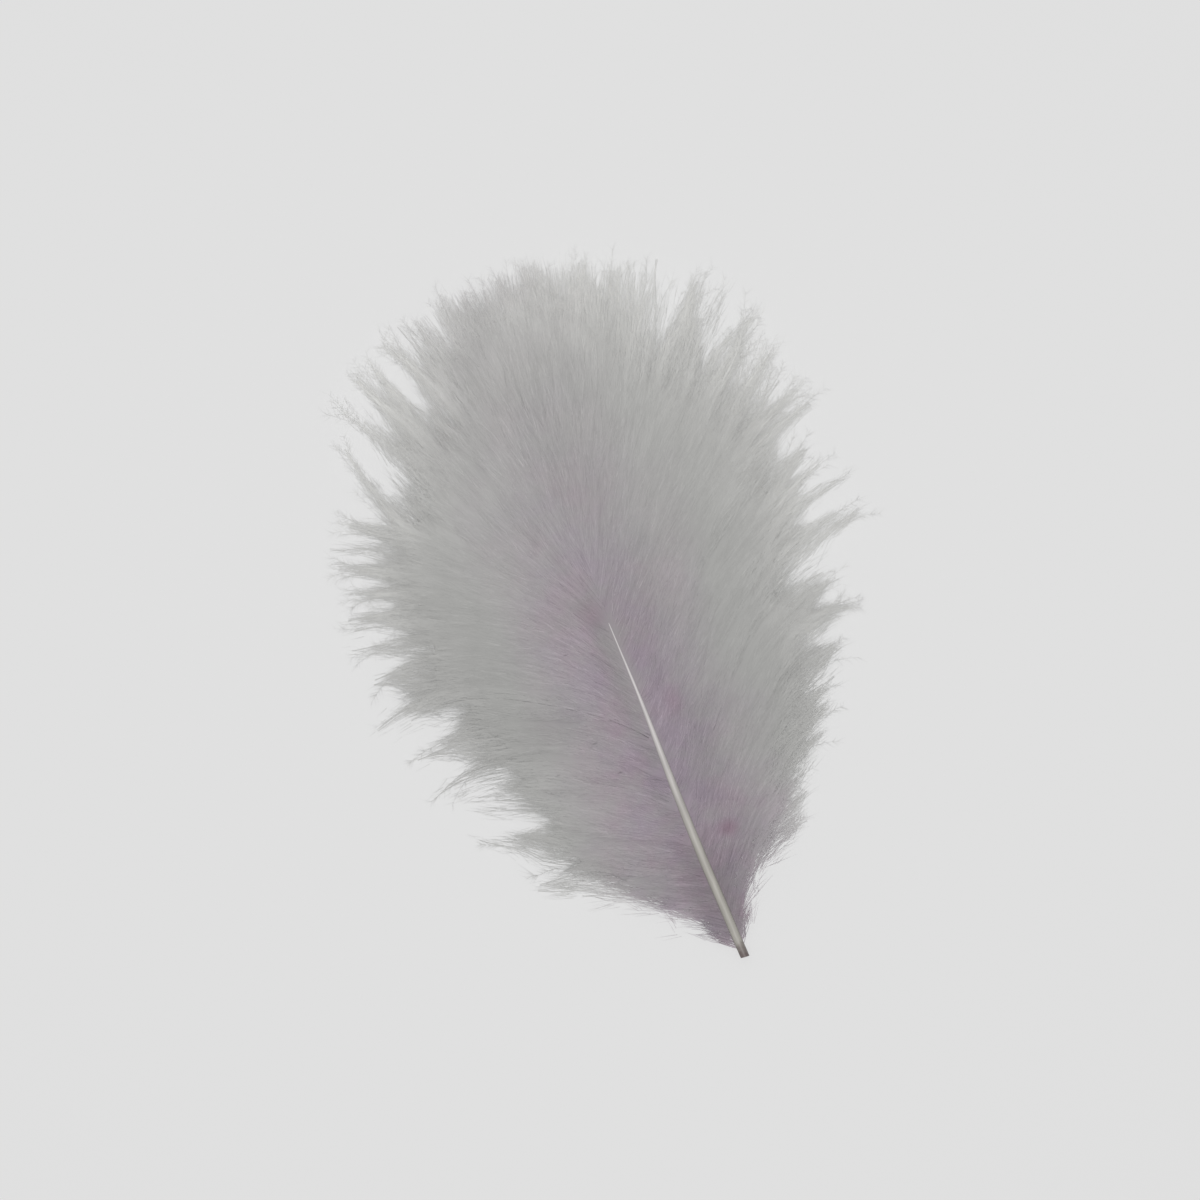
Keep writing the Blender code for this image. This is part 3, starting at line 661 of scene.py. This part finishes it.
def down_material(colours):
    """Grey down, mauve along the shaft and darker towards the foot, with faint streaks along its barbs, a
    painted shadow beside the shaft, and painted light at its top, rim and thin edge.
    """
    tree = Tree(DOWN)
    place = tree.node("ShaderNodeTexCoord").outputs["Object"]
    parts = tree.node("ShaderNodeSeparateXYZ", {}, {0: place})
    x, y = parts.outputs["X"], parts.outputs["Y"]
    across = tree.math("SUBTRACT", x, tree.math("MULTIPLY_ADD", y, -0.083, -1.4 * MM))
    bed = tree.math("ABSOLUTE", tree.math("ADD", across, 1.2 * MM))
    # How mauve it is: patchy, less up the feather, and greyer in a strip along the shaft
    drift = tree.math("SUBTRACT", tree.noise(place, 90.0, 3.0), 0.5)
    wander = tree.math("MULTIPLY_ADD", drift, 0.018, tree.math("ABSOLUTE", across))
    mottle = tree.ramp(tree.noise(place, 170.0, 3.0, 0.6), 0.3, 0.7, 0.6, 1.2)
    greyer = tree.ramp(y, -30.0 * MM, -18.0 * MM, 1.0, 0.55)
    greyer = tree.math("MAXIMUM", greyer, tree.ramp(y, -2.0 * MM, 6.0 * MM, 0.55, 1.0))
    upward = tree.ramp(y, -20.0 * MM, 52.0 * MM, 1.0, 0.08)
    strip = tree.ramp(bed, 0.6 * MM, 3.6 * MM, greyer, 1.0)
    mauve = tree.times(tree.ramp(wander, 1.0 * MM, 23.0 * MM, 1.0, 0.0), mottle, upward, strip)
    hue = tree.ramp(tree.noise(place, 120.0, 2.0), 0.35, 0.65)
    base = tree.mix(mauve, opaque(colours.down), tree.mix(hue, opaque(colours.mauve), opaque(colours.violet)))
    for *spot, most in BLUSHES:
        base = tree.mix(tree.ramp(tree.away(place, *spot), 0.0, 1.0, most, 0.0), base, opaque(colours.blush))
    # How bright it is: by the distance from the shaft, along the feather, towards its rim and in places
    near = tree.math("ABSOLUTE", tree.math("SUBTRACT", across, 3.0 * MM))
    lights = [tree.ramp(near, 0.0, 24.0 * MM, colours.shade, 1.0)]
    lights.append(tree.ramp(y, -54.0 * MM, -30.0 * MM, colours.foot_shade, 1.0))
    # Painted shadow: up to 8 % darker in a strip along the left side of the shaft, fading out between y 0 and
    # 10 mm
    lights.append(tree.ramp(bed, 1.0 * MM, 4.5 * MM, tree.ramp(y, 0.0, 10.0 * MM, 0.92, 1.0), 1.0))
    # The second of these is painted light that lifts the top of the feather
    for low, high, *shades in LENGTH_SHADES:
        lights.append(tree.ramp(y, low * MM, high * MM, *shades))
    # Painted light: lighter towards the rim, as if light shone through the outer down
    rim = tree.away(place, 0.0, 0.0, 46.0, 62.0)
    lights.append(tree.ramp(rim, 0.45, 1.0, 1.0, colours.rim_painted_light))
    inside = tree.node("ShaderNodeAttribute", {"attribute_name": "inside"}).outputs["Fac"]
    # Painted light: lighter at the thin edge, as if light shone through it
    lights.append(tree.ramp(inside, -1.0, 7.0, colours.edge_painted_light, 1.0))
    # Painted light: a lighter band near the edge, where the deeper fluff is shaded
    lights.append(tree.ramp(inside, *DEPTH_PAINTED_LIGHT))
    lights.append(tree.ramp(tree.noise(place, 45.0, 4.0, 0.6), 0.3, 0.7, 0.96, 1.04))
    # The broad lighter spots near the rim and the top are painted light
    lights += [tree.ramp(tree.away(place, *spot), 0.0, 1.0, shade, 1.0) for *spot, shade in SHADES]
    # Streaks along the barbs, and fibres that differ, most where the down is mauve and near the tip
    strand = tree.node("ShaderNodeAttribute", {"attribute_name": "strand"}).outputs["Vector"]
    streaks = tree.node("ShaderNodeMapping", {}, {"Vector": strand, "Scale": (4.0, 0.09, 0.0)}).outputs[0]
    streak = tree.ramp(tree.noise(streaks, 1.0, 4.0, 0.7), 0.3, 0.7, -1.0, 1.0)
    chance = tree.node("ShaderNodeSeparateXYZ", {}, {0: strand}).outputs["Z"]
    tone = tree.math("MULTIPLY_ADD", chance, colours.fibre_tone, tree.times(streak, colours.streaks))
    clear = tree.math("MULTIPLY_ADD", mauve, 1.3, tree.ramp(y, 20.0 * MM, 48.0 * MM, 1.0, 1.7))
    lights.append(tree.math("MULTIPLY_ADD", tone, clear, 1.0))
    return tree.finish(tree.lit(base, tree.times(*lights)), 0.95, 0.1)


def shaft_material(colours):
    """Pale horn with fine streaks along it, dark at the cut foot."""
    tree = Tree("quill")
    place = tree.node("ShaderNodeTexCoord").outputs["Object"]
    y = tree.node("ShaderNodeSeparateXYZ", {}, {0: place}).outputs["Y"]
    streaks = tree.node("ShaderNodeMapping", {}, {"Vector": place, "Scale": (1.0, 0.05, 1.0)})
    grain = tree.ramp(tree.noise(streaks.outputs[0], 2600.0, 3.0), 0.3, 0.7, 0.93, 1.05)
    clouds = tree.ramp(tree.noise(place, 160.0, 2.0), 0.3, 0.7, 0.95, 1.04)
    horn = tree.mix(tree.ramp(y, -50.0 * MM, -6.0 * MM), opaque(colours.shaft), opaque(colours.shaft_end))
    edge = tree.math("MULTIPLY_ADD", tree.noise(place, 900.0, 2.0), 2.4 * MM, y)
    horn = tree.mix(tree.ramp(edge, -60.6 * MM, -57.4 * MM, 1.0, 0.0), horn, opaque(colours.shaft_foot))
    bump = tree.node("ShaderNodeBump", {}, {"Strength": 0.15, "Distance": 0.05 * MM, "Height": grain})
    tree.put(tree.shader.inputs["Normal"], bump.outputs["Normal"])
    return tree.finish(tree.lit(horn, tree.times(grain, clouds)), 0.5, 0.35)


class FeatherSizes(bpy.types.PropertyGroup):
    """How fine and how dense the down is."""

    density: bpy.props.FloatProperty(
        name="Density", description="Share of the barbules that are made", default=1.0, min=0.02, max=1.0
    )
    width: bpy.props.FloatProperty(
        name="Width", description="Width of the barbules against the usual one", default=1.0, min=0.3, max=3.0
    )
    lift: bpy.props.FloatProperty(
        name="Lift", description="How steeply the barbules rise", default=radians(1.0), unit="ROTATION"
    )
    hairs: bpy.props.IntProperty(
        name="Loose Barbs", description="Single barbs that stray at the rim", default=1000, min=1, max=1500
    )


class FeatherColours(bpy.types.PropertyGroup):
    """The colours of the down, the shaft and the floor."""

    down: bpy.props.FloatVectorProperty(
        name="Down", description="Colour of the down away from the shaft",
        default=(0.461, 0.46, 0.449), subtype="COLOR"
    )
    mauve: bpy.props.FloatVectorProperty(
        name="Mauve", description="Colour of the down beside the shaft",
        default=(0.466, 0.385, 0.442), subtype="COLOR"
    )
    violet: bpy.props.FloatVectorProperty(
        name="Violet", description="Colour of the bluer patches there",
        default=(0.448, 0.383, 0.446), subtype="COLOR"
    )
    blush: bpy.props.FloatVectorProperty(
        name="Blush", description="Colour of the pinkest places", default=(0.47, 0.345, 0.42), subtype="COLOR"
    )
    shade: bpy.props.FloatProperty(
        name="Shade", description="How bright the down beside the shaft is, against the rim", default=0.83
    )
    foot_shade: bpy.props.FloatProperty(
        name="Foot Shade", description="How bright the down at the feather's foot is", default=0.78
    )
    # Painted light: how much lighter the outer down is made, as if light shone through it
    rim_painted_light: bpy.props.FloatProperty(
        name="Rim Shade", description="How bright the outer down is, against the middle", default=1.14
    )
    # Painted light: how much lighter the thin down at the edge is made, as if light shone through it
    edge_painted_light: bpy.props.FloatProperty(
        name="Edge Shade", description="How bright the thin down is, against the dense down", default=1.2
    )
    fibre_tone: bpy.props.FloatProperty(
        name="Fibre Tone", description="How much the fibres differ from each other", default=0.034
    )
    streaks: bpy.props.FloatProperty(
        name="Streaks", description="How strong the streaks along the barbs are", default=0.036
    )
    shaft: bpy.props.FloatVectorProperty(
        name="Shaft", description="Colour of the lower shaft", default=(0.4, 0.384, 0.35), subtype="COLOR"
    )
    shaft_end: bpy.props.FloatVectorProperty(
        name="Shaft's End", description="Colour of the upper shaft",
        default=(0.585, 0.555, 0.56), subtype="COLOR"
    )
    shaft_foot: bpy.props.FloatVectorProperty(
        name="Shaft's Foot", description="Colour of the shaft's cut foot",
        default=(0.15, 0.12, 0.115), subtype="COLOR"
    )
    floor: bpy.props.FloatVectorProperty(
        name="Floor", description="Colour of the floor", default=(0.73, 0.73, 0.73), subtype="COLOR"
    )


class FEATHER_OT_shaft(bpy.types.Operator):
    """Builds the bare shaft from its cut foot to where it ends in the down"""

    bl_idname = "feather.shaft"
    bl_label = "Shaft"

    def execute(self, context):
        stations, known = np.linspace(0.0, 1.0, SHAFT_STATIONS), np.linspace(0.0, 1.0, len(SHAFT))
        route = rows_at(stations, known, SHAFT)
        route[1:-1] = 0.25 * route[:-2] + 0.5 * route[1:-1] + 0.25 * route[2:]
        bm = bmesh.new()
        radius = 0.5 * route[0, 3] * MM
        ring = bmesh.ops.create_circle(bm, cap_ends=True, segments=SHAFT_SIDES, radius=radius)["verts"]
        upright = Matrix.Translation(Vector(route[0, :3]) * MM) @ Matrix.Rotation(0.5 * pi, 4, "X")
        bmesh.ops.transform(bm, matrix=upright, verts=ring)
        edges = list(bm.edges)
        for here, there in zip(route, route[1:]):
            grown = bmesh.ops.extrude_edge_only(bm, edges=edges)["geom"]
            ring = [part for part in grown if isinstance(part, bmesh.types.BMVert)]
            edges = [part for part in grown if isinstance(part, bmesh.types.BMEdge)]
            bmesh.ops.translate(bm, verts=ring, vec=Vector(there[:3] - here[:3]) * MM)
            centre = Matrix.Translation(-Vector(there[:3]) * MM)
            narrower = there[3] / here[3]
            bmesh.ops.scale(bm, verts=ring, vec=(narrower, 1.0, narrower), space=centre)
        bmesh.ops.contextual_create(bm, geom=edges)
        foot = min(bm.faces, key=lambda face: face.calc_center_median().y)
        bmesh.ops.inset_individual(bm, faces=[foot], thickness=FOOT_WALL * MM, depth=-FOOT_HOLLOW * MM)
        bmesh.ops.recalc_face_normals(bm, faces=bm.faces)
        mesh = mesh_of(bm, "shaft")
        mesh.shade_smooth()
        mesh.set_sharp_from_angle(angle=radians(50.0))
        add_piece("shaft", mesh, shaft_material(context.scene.feather_colours))
        return {"FINISHED"}


class FEATHER_OT_core(bpy.types.Operator):
    """Builds the dense down in the middle of the feather, which no light shines through"""

    bl_idname = "feather.core"
    bl_label = "Soft Core"

    def execute(self, context):
        bm = bmesh.new()
        (low_x, low_y), (high_x, high_y) = GRID_BOX
        wide, long = high_x - low_x, high_y - low_y
        spread = Matrix.Diagonal((0.5 * wide * MM, 0.5 * long * MM, 1.0, 1.0))
        counts = {"x_segments": round(wide / CORE_STEP), "y_segments": round(long / CORE_STEP)}
        centre = Matrix.Translation((0.0, 0.5 * (low_y + high_y) * MM, 0.0))
        bmesh.ops.create_grid(bm, size=1.0, matrix=centre @ spread, **counts)
        inside = inside_edge(self.places(bm))
        outside = [vert for vert, deep in zip(bm.verts, inside) if deep < CORE_INSIDE]
        bmesh.ops.delete(bm, geom=outside, context="VERTS")
        loose = [vert for vert in bm.verts if not vert.link_faces]
        bmesh.ops.delete(bm, geom=loose, context="VERTS")
        for _ in range(CORE_SMOOTHING):
            rim = [vert for vert in bm.verts if vert.is_boundary]
            bmesh.ops.smooth_vert(bm, verts=rim, factor=0.5, use_axis_x=True, use_axis_y=True)
        places = self.places(bm)
        full = even_heights(places, LOCKS) - CORE_SINK - CORE_BOTTOM
        taper = np.interp(inside_edge(places), *np.array(CORE_TAPER).T)
        for vert, high in zip(bm.verts, CORE_BOTTOM + full * taper):
            vert.co.z = high * MM
        for part in bmesh.ops.extrude_face_region(bm, geom=list(bm.faces))["geom"]:
            if isinstance(part, bmesh.types.BMVert):
                part.co.z = CORE_BOTTOM * MM
        bmesh.ops.recalc_face_normals(bm, faces=bm.faces)
        mesh = mesh_of(bm, "core")
        mesh.shade_smooth()
        add_strand(mesh, self.strand_of(mesh))
        add_piece("core", mesh, bpy.data.materials[DOWN])
        return {"FINISHED"}

    @staticmethod
    def places(bm):
        """Each vertex's x and y in millimetres."""
        return np.array([(vert.co.x, vert.co.y) for vert in bm.verts]) / MM

    @staticmethod
    def strand_of(mesh):
        """The place among the barbs of each point of the core, from the nearest lock."""
        points = points_of(mesh)[:, :2]
        tree = kdtree.KDTree(len(LOCKS) * LOCK_STEPS)
        for k, lock in enumerate(LOCKS):
            for step, (x, y) in enumerate(lock.place):
                tree.insert((x, y, 0.0), k * LOCK_STEPS + step)
        tree.balance()
        strand = np.zeros((len(points), 3))
        for row, (x, y) in zip(strand, points):
            found = tree.find((x, y, 0.0))[1]
            lock, step = LOCKS[found // LOCK_STEPS], found % LOCK_STEPS
            (hx, hy), (px, py) = lock.heading[step], lock.place[step]
            side = (x - px) * hy - (y - py) * hx
            half = (lock.after if side > 0.0 else lock.before)[step]
            row[:2] = lock.number + OVERLAP * side / half, lock.along[step]
        return strand


def loose_barbs(count):
    """The barbs that stray out at the rim, each with its lock's number, its route and its strand()."""
    rng = np.random.default_rng(BARB_SEED)
    found = []
    free = np.array([lock.length * (1.0 - 0.8 * lock.split) for lock in LOCKS])
    tips = np.array([lock.tip for lock in LOCKS])
    chances = free * np.interp(tips[:, 1], *HAIRY) * np.minimum(cleared(tips), MOST_HAIRY)
    for k in np.sort(rng.choice(len(LOCKS), count, p=chances / chances.sum())):
        lock = LOCKS[k]
        acrosses = np.full(HAIR_POINTS, rng.uniform(-1.0, 1.0))
        start = rng.uniform(*HAIR_START)
        stop = min(1.0 + rng.uniform(*PAST_BY) / lock.length, start + rng.uniform(*HAIR_SHARE))
        shares = np.linspace(start, stop, HAIR_POINTS)
        drift = rng.normal(0.0, 1.5) * np.linspace(0.0, 1.0, HAIR_POINTS) ** 1.6
        route = lock.spots(acrosses, shares, drift)
        if cleared(route).min() < SHUT:
            continue
        route[:, 2] = np.maximum(route[:, 2] + rng.uniform(-0.2, 0.25), LOWEST_BARB)
        found.append((k, route, lock.strand(acrosses, shares, np.full(HAIR_POINTS, rng.normal(-1.0, 1.0)))))
    for line in LONE_BARBS:
        known = lengths(line)
        steps = np.linspace(0.0, known[-1], HAIR_POINTS)
        k = int(np.argmin(np.linalg.norm(tips - line[-1], axis=1)))
        heights = np.linspace(LONE_HEIGHT, LOCKS[k].crest[-1], HAIR_POINTS)
        route = np.column_stack([rows_at(steps, known, line), heights])
        found.append((k, route, np.tile((k, LONE_ALONG, LONE_CHANCE), (HAIR_POINTS, 1))))
    return found


class FEATHER_OT_barbs(bpy.types.Operator):
    """Builds the barbs, which run from the shaft to the tips of the locks, and those that stray at the rim"""

    bl_idname = "feather.barbs"
    bl_label = "Barbs"

    def execute(self, context):
        rng = np.random.default_rng(BARB_SEED)
        routes, looks = [], []
        for lock in LOCKS:
            count = max(3, round(float((lock.before + lock.after).max()) / BARB_SPACING))
            even = np.linspace(-BARBS_ACROSS, BARBS_ACROSS, count)
            for across in even + rng.normal(0.0, BARBS_STRAY, count):
                acrosses = np.full(BARB_POINTS, across)
                shares = lock.end[lock.tuft(acrosses)] * np.linspace(0.0, 0.98, BARB_POINTS) ** 0.9
                shares = unbroken(lock, acrosses, shares)
                routes.append(lock.spots(acrosses, shares) - (0.0, 0.0, BARB_SINK))
                looks.append(lock.strand(acrosses, shares, np.full(BARB_POINTS, chance_of(1, rng)[0])))
        self.add("barbs", routes, looks, BARB_FOOT, BARB_TIP)
        _, routes, looks = zip(*loose_barbs(context.scene.feather_sizes.hairs))
        self.add("loose_barbs", routes, looks, HAIR_FOOT, HAIR_TIP)
        return {"FINISHED"}

    @staticmethod
    def add(name, routes, looks, foot, tip):
        """One piece of strands that taper from foot to tip."""
        routes = np.array(routes)
        routes[:, :, 2] = np.maximum(routes[:, :, 2], LOWEST_BARB)
        radii = np.tile(0.5 * np.linspace(foot, tip, routes.shape[1]), (len(routes), 1))
        add_fibres(name, *strands(routes, radii), np.repeat(np.concatenate(looks), 3, axis=0))


def chance_of(count, rng):
    """How much lighter or darker than the down some fibres are: most are near it, a few stand out."""
    return np.clip(rng.standard_t(3.0, count), -MOST_CHANCE, MOST_CHANCE)


def cleared(spots):
    """The share of the down that the clearings leave at places."""
    left = np.ones(len(spots))
    for x0, y0, x1, y1, reach, least in CLEARINGS:
        start, way = np.array((x0, y0)), np.array((x1 - x0, y1 - y0))
        share = np.clip((spots[:, :2] - start) @ way / (way @ way), 0.0, 1.0)
        away = np.linalg.norm(spots[:, :2] - start - share[:, None] * way, axis=1)
        left *= np.interp(away / reach, CLEARED_BY, (least, 1.0))
    return left


def kept(spots, kind, rng):
    """Which of some barbules are left, by where the dense down ends and by its clearings."""
    known = np.array(EDGE_SHARES[kind]).T
    return rng.uniform(0.0, 1.0, len(spots)) < np.interp(inside_edge(spots), *known) * cleared(spots)


def unbroken(lock, acrosses, shares):
    """A barb's shares drawn in, so that it ends before a clearing."""
    left = cleared(lock.spots(acrosses, shares))
    return shares * (shares[np.argmax(left < SHUT)] / shares[-1] if left.min() < SHUT else 1.0)


def barbules_of(lock, kind, count, sizes, rng):
    """Roots, ends, widths, strands and undersides of one lock's barbules of one kind."""
    _, ramp, densities, length, width, swings, spread, sunk, stray = BARBULES[kind]
    area = lock.area(ramp, densities)
    share = np.interp(rng.uniform(0.0, area[-1], count), area, lock.shares)
    across = rng.uniform(-ACROSS, ACROSS, count)
    loose = np.clip(rng.normal(0.0, 0.5, count), -LOOSE_ACROSS, LOOSE_ACROSS)
    across = np.where(lock.free(across, share) > 0.0, loose, across)
    past = np.maximum(share - lock.split, 0.0)
    share = share - past * (1.0 - lock.end[lock.tuft(across)]) / (1.0 - lock.split)
    astray = rng.normal(0.0, stray, count) * np.minimum(1.0, 2.0 * share)
    root = lock.spots(across, share, astray)
    ahead = root - lock.spots(across, share - LOOK_BACK, astray)
    free = lock.free(across, share)
    swing = rng.uniform(*swings, count) * (1.0 - FREE_SWING * free) * rng.choice((-1.0, 1.0), count)
    lie = np.arctan2(ahead[:, 1], ahead[:, 0]) + np.radians(swing)
    long = length * rng.uniform(*UNEVEN_LENGTH, count) * (1.0 - FREE_LENGTH * free)
    beyond = share + long * np.cos(np.radians(swing)) / lock.length
    below = rng.uniform(0.0, 1.0, count) < UNDERSIDE_SHARE
    depth = rng.uniform(0.0, 1.0, count) ** 1.5 * np.minimum(sunk, 0.7 * root[:, 2])
    deep = rng.uniform(0.0, 1.0, count) < DEEP_SHARE * (share > lock.split - DEEP_FROM)
    depth = np.where(deep, rng.uniform(0.0, DEEPEST, count) * root[:, 2], depth)
    end = root + np.column_stack([np.cos(lie), np.sin(lie), np.zeros(count)]) * long[:, None]
    end[:, 2] = lock.spots(across, beyond)[:, 2] - 0.7 * depth + long * rng.normal(sizes.lift, spread, count)
    floor = rng.uniform(*UNDERSIDE, count)
    root[:, 2] = np.maximum(np.where(below, floor, root[:, 2] - depth), LOWEST_FOOT)
    end[:, 2] = np.maximum(np.where(below, floor, end[:, 2]), LOWEST_TIP)
    strand = lock.strand(across, share, chance_of(count, rng))
    tried = np.interp(root[:, 1], *TRIED_AT)[:, None]
    stays = kept(root + tried * (end - root), kind, rng)
    widths = width * sizes.width * rng.uniform(*UNEVEN_WIDTH, count)
    return [part[stays] for part in (root, end, widths, strand, below)]


def fluff_of(route, strand, rng):
    """Roots, ends, widths, strands and undersides of one loose barb's barbules."""
    count, length, width, swings, lengths_of, rise = FLUFF
    steps = rng.uniform(0.1, 1.0, count) * (len(route) - 1)
    known = np.arange(len(route))
    root, way = rows_at(steps, known, route), rows_at(steps, known, np.gradient(route, axis=0))
    swing = rng.uniform(*swings, count) * rng.choice((-1.0, 1.0), count)
    lie = np.arctan2(way[:, 1], way[:, 0]) + np.radians(swing)
    long = length * rng.uniform(*lengths_of, count)
    end = root + np.column_stack([np.cos(lie), np.sin(lie), rng.normal(0.0, rise, count)]) * long[:, None]
    end[:, 2] = np.maximum(end[:, 2], LOWEST_TIP)
    looks = np.column_stack([np.full((count, 2), strand[0, :2]), rng.normal(0.0, 1.0, count)])
    return root, end, width * rng.uniform(*UNEVEN_WIDTH, count), looks, np.zeros(count, dtype=bool)


class FEATHER_OT_down(bpy.types.Operator):
    """Builds the barbules, which make the down soft, in four pieces round the feather"""

    bl_idname = "feather.down"
    bl_label = "Down"

    def execute(self, context):
        sizes = context.scene.feather_sizes
        rng = np.random.default_rng(DOWN_SEED)
        loose = loose_barbs(sizes.hairs)
        grown = [self.lock_barbules(lock, sizes, loose, rng) for lock in LOCKS]
        grown = [np.concatenate(part) for part in zip(*grown)]
        most = MOST_BARBULES * len(DOWN_PIECES)
        if len(grown[0]) > most:
            chosen = np.sort(rng.choice(len(grown[0]), most, replace=False))
            grown = [part[chosen] for part in grown]
        grown = [np.array_split(part, len(DOWN_PIECES)) for part in grown]
        for name, root, end, width, strand, below in zip(DOWN_PIECES, *grown):
            points, faces = needles(root, end, width, below)
            points[:, 2] = np.maximum(points[:, 2], LOWEST_POINT)
            add_fibres(name, points, faces, np.repeat(strand, 4, axis=0))
        return {"FINISHED"}

    @staticmethod
    def lock_barbules(lock, sizes, loose, rng):
        """One lock's barbules of every kind, by its share of the whole area, and those of its loose barbs."""
        kinds = []
        for kind, (total, ramp, densities, *_) in BARBULES.items():
            whole = sum(other.area(ramp, densities)[-1] for other in LOCKS)
            count = int(sizes.density * total * lock.area(ramp, densities)[-1] / whole)
            kinds.append(barbules_of(lock, kind, count, sizes, rng))
        kinds += [fluff_of(route, strand, rng) for number, route, strand in loose if number == lock.number]
        return [np.concatenate(part) for part in zip(*kinds)]


class FEATHER_OT_stage(bpy.types.Operator):
    """Sets the floor, the light, the camera and the down's material"""

    bl_idname = "feather.stage"
    bl_label = "Stage"

    def execute(self, context):
        scene, colours = context.scene, context.scene.feather_colours
        bm = bmesh.new()
        bmesh.ops.create_circle(bm, cap_ends=True, segments=96, radius=FLOOR * MM)
        mesh = mesh_of(bm, "floor")
        mesh.materials.append(Tree("floor").finish(opaque(colours.floor), 1.0, 0.0))
        floor = bpy.data.objects.new("floor", mesh)
        scene.collection.objects.link(floor)
        self.light(scene)
        self.camera(scene)
        scene.view_settings.view_transform = "Standard"
        down_material(colours)
        return {"FINISHED"}

    @staticmethod
    def light(scene):
        """An even white sky, and a small lamp overhead, close to the camera's line."""
        world = bpy.data.worlds.new("studio")
        world.use_nodes = True
        sky = world.node_tree.nodes["Background"].inputs
        sky["Color"].default_value, sky["Strength"].default_value = (1.0, 1.0, 1.0, 1.0), SKY
        scene.world = world
        lamp = bpy.data.lights.new("overhead", "AREA")
        lamp.shape, lamp.size, lamp.energy = "DISK", LAMP_WIDTH * MM, LAMP_POWER
        over = bpy.data.objects.new("overhead", lamp)
        over.location = Vector((VIEW_CENTRE[0] + LAMP_OFF[0], VIEW_CENTRE[1] + LAMP_OFF[1], LAMP_HEIGHT)) * MM
        over.rotation_euler = (-over.location).to_track_quat("-Z", "Y").to_euler()
        scene.collection.objects.link(over)

    @staticmethod
    def camera(scene):
        """A long lens straight above the feather."""
        lens = bpy.data.cameras.new("camera")
        lens.sensor_fit = "HORIZONTAL"
        lens.lens = lens.sensor_width * (VIEW_HEIGHT - VIEW_PLANE) / VIEW_WIDTH
        lens.clip_start, lens.clip_end = 0.01, 50.0
        camera = bpy.data.objects.new("camera", lens)
        camera.location = Vector((*VIEW_CENTRE, VIEW_HEIGHT)) * MM
        camera.rotation_euler = (0.0, 0.0, radians(VIEW_TURN))
        scene.collection.objects.link(camera)
        scene.camera = camera


class FEATHER_PT_panel(bpy.types.Panel):
    """Lists the feather's settings and its pieces"""

    bl_label = "Marabou Feather"
    bl_idname = "FEATHER_PT_panel"
    bl_space_type = "VIEW_3D"
    bl_region_type = "UI"
    bl_category = "Feather"

    def draw(self, context):
        layout = self.layout
        for group in (context.scene.feather_sizes, context.scene.feather_colours):
            for name in group.__annotations__:
                layout.prop(group, name)
        for step in STEPS:
            layout.operator(step.bl_idname)


STEPS = (FEATHER_OT_stage, FEATHER_OT_shaft, FEATHER_OT_core, FEATHER_OT_barbs, FEATHER_OT_down)
CLASSES = (FeatherSizes, FeatherColours) + STEPS + (FEATHER_PT_panel,)


def register():
    for made in CLASSES:
        bpy.utils.register_class(made)
    bpy.types.Scene.feather_sizes = bpy.props.PointerProperty(type=FeatherSizes)
    bpy.types.Scene.feather_colours = bpy.props.PointerProperty(type=FeatherColours)


def unregister():
    del bpy.types.Scene.feather_sizes
    del bpy.types.Scene.feather_colours
    for made in reversed(CLASSES):
        bpy.utils.unregister_class(made)


def main():
    """Builds every piece."""
    register()
    for step in STEPS:
        group, name = step.bl_idname.split(".")
        getattr(getattr(bpy.ops, group), name)()


if __name__ == "__main__":
    main()
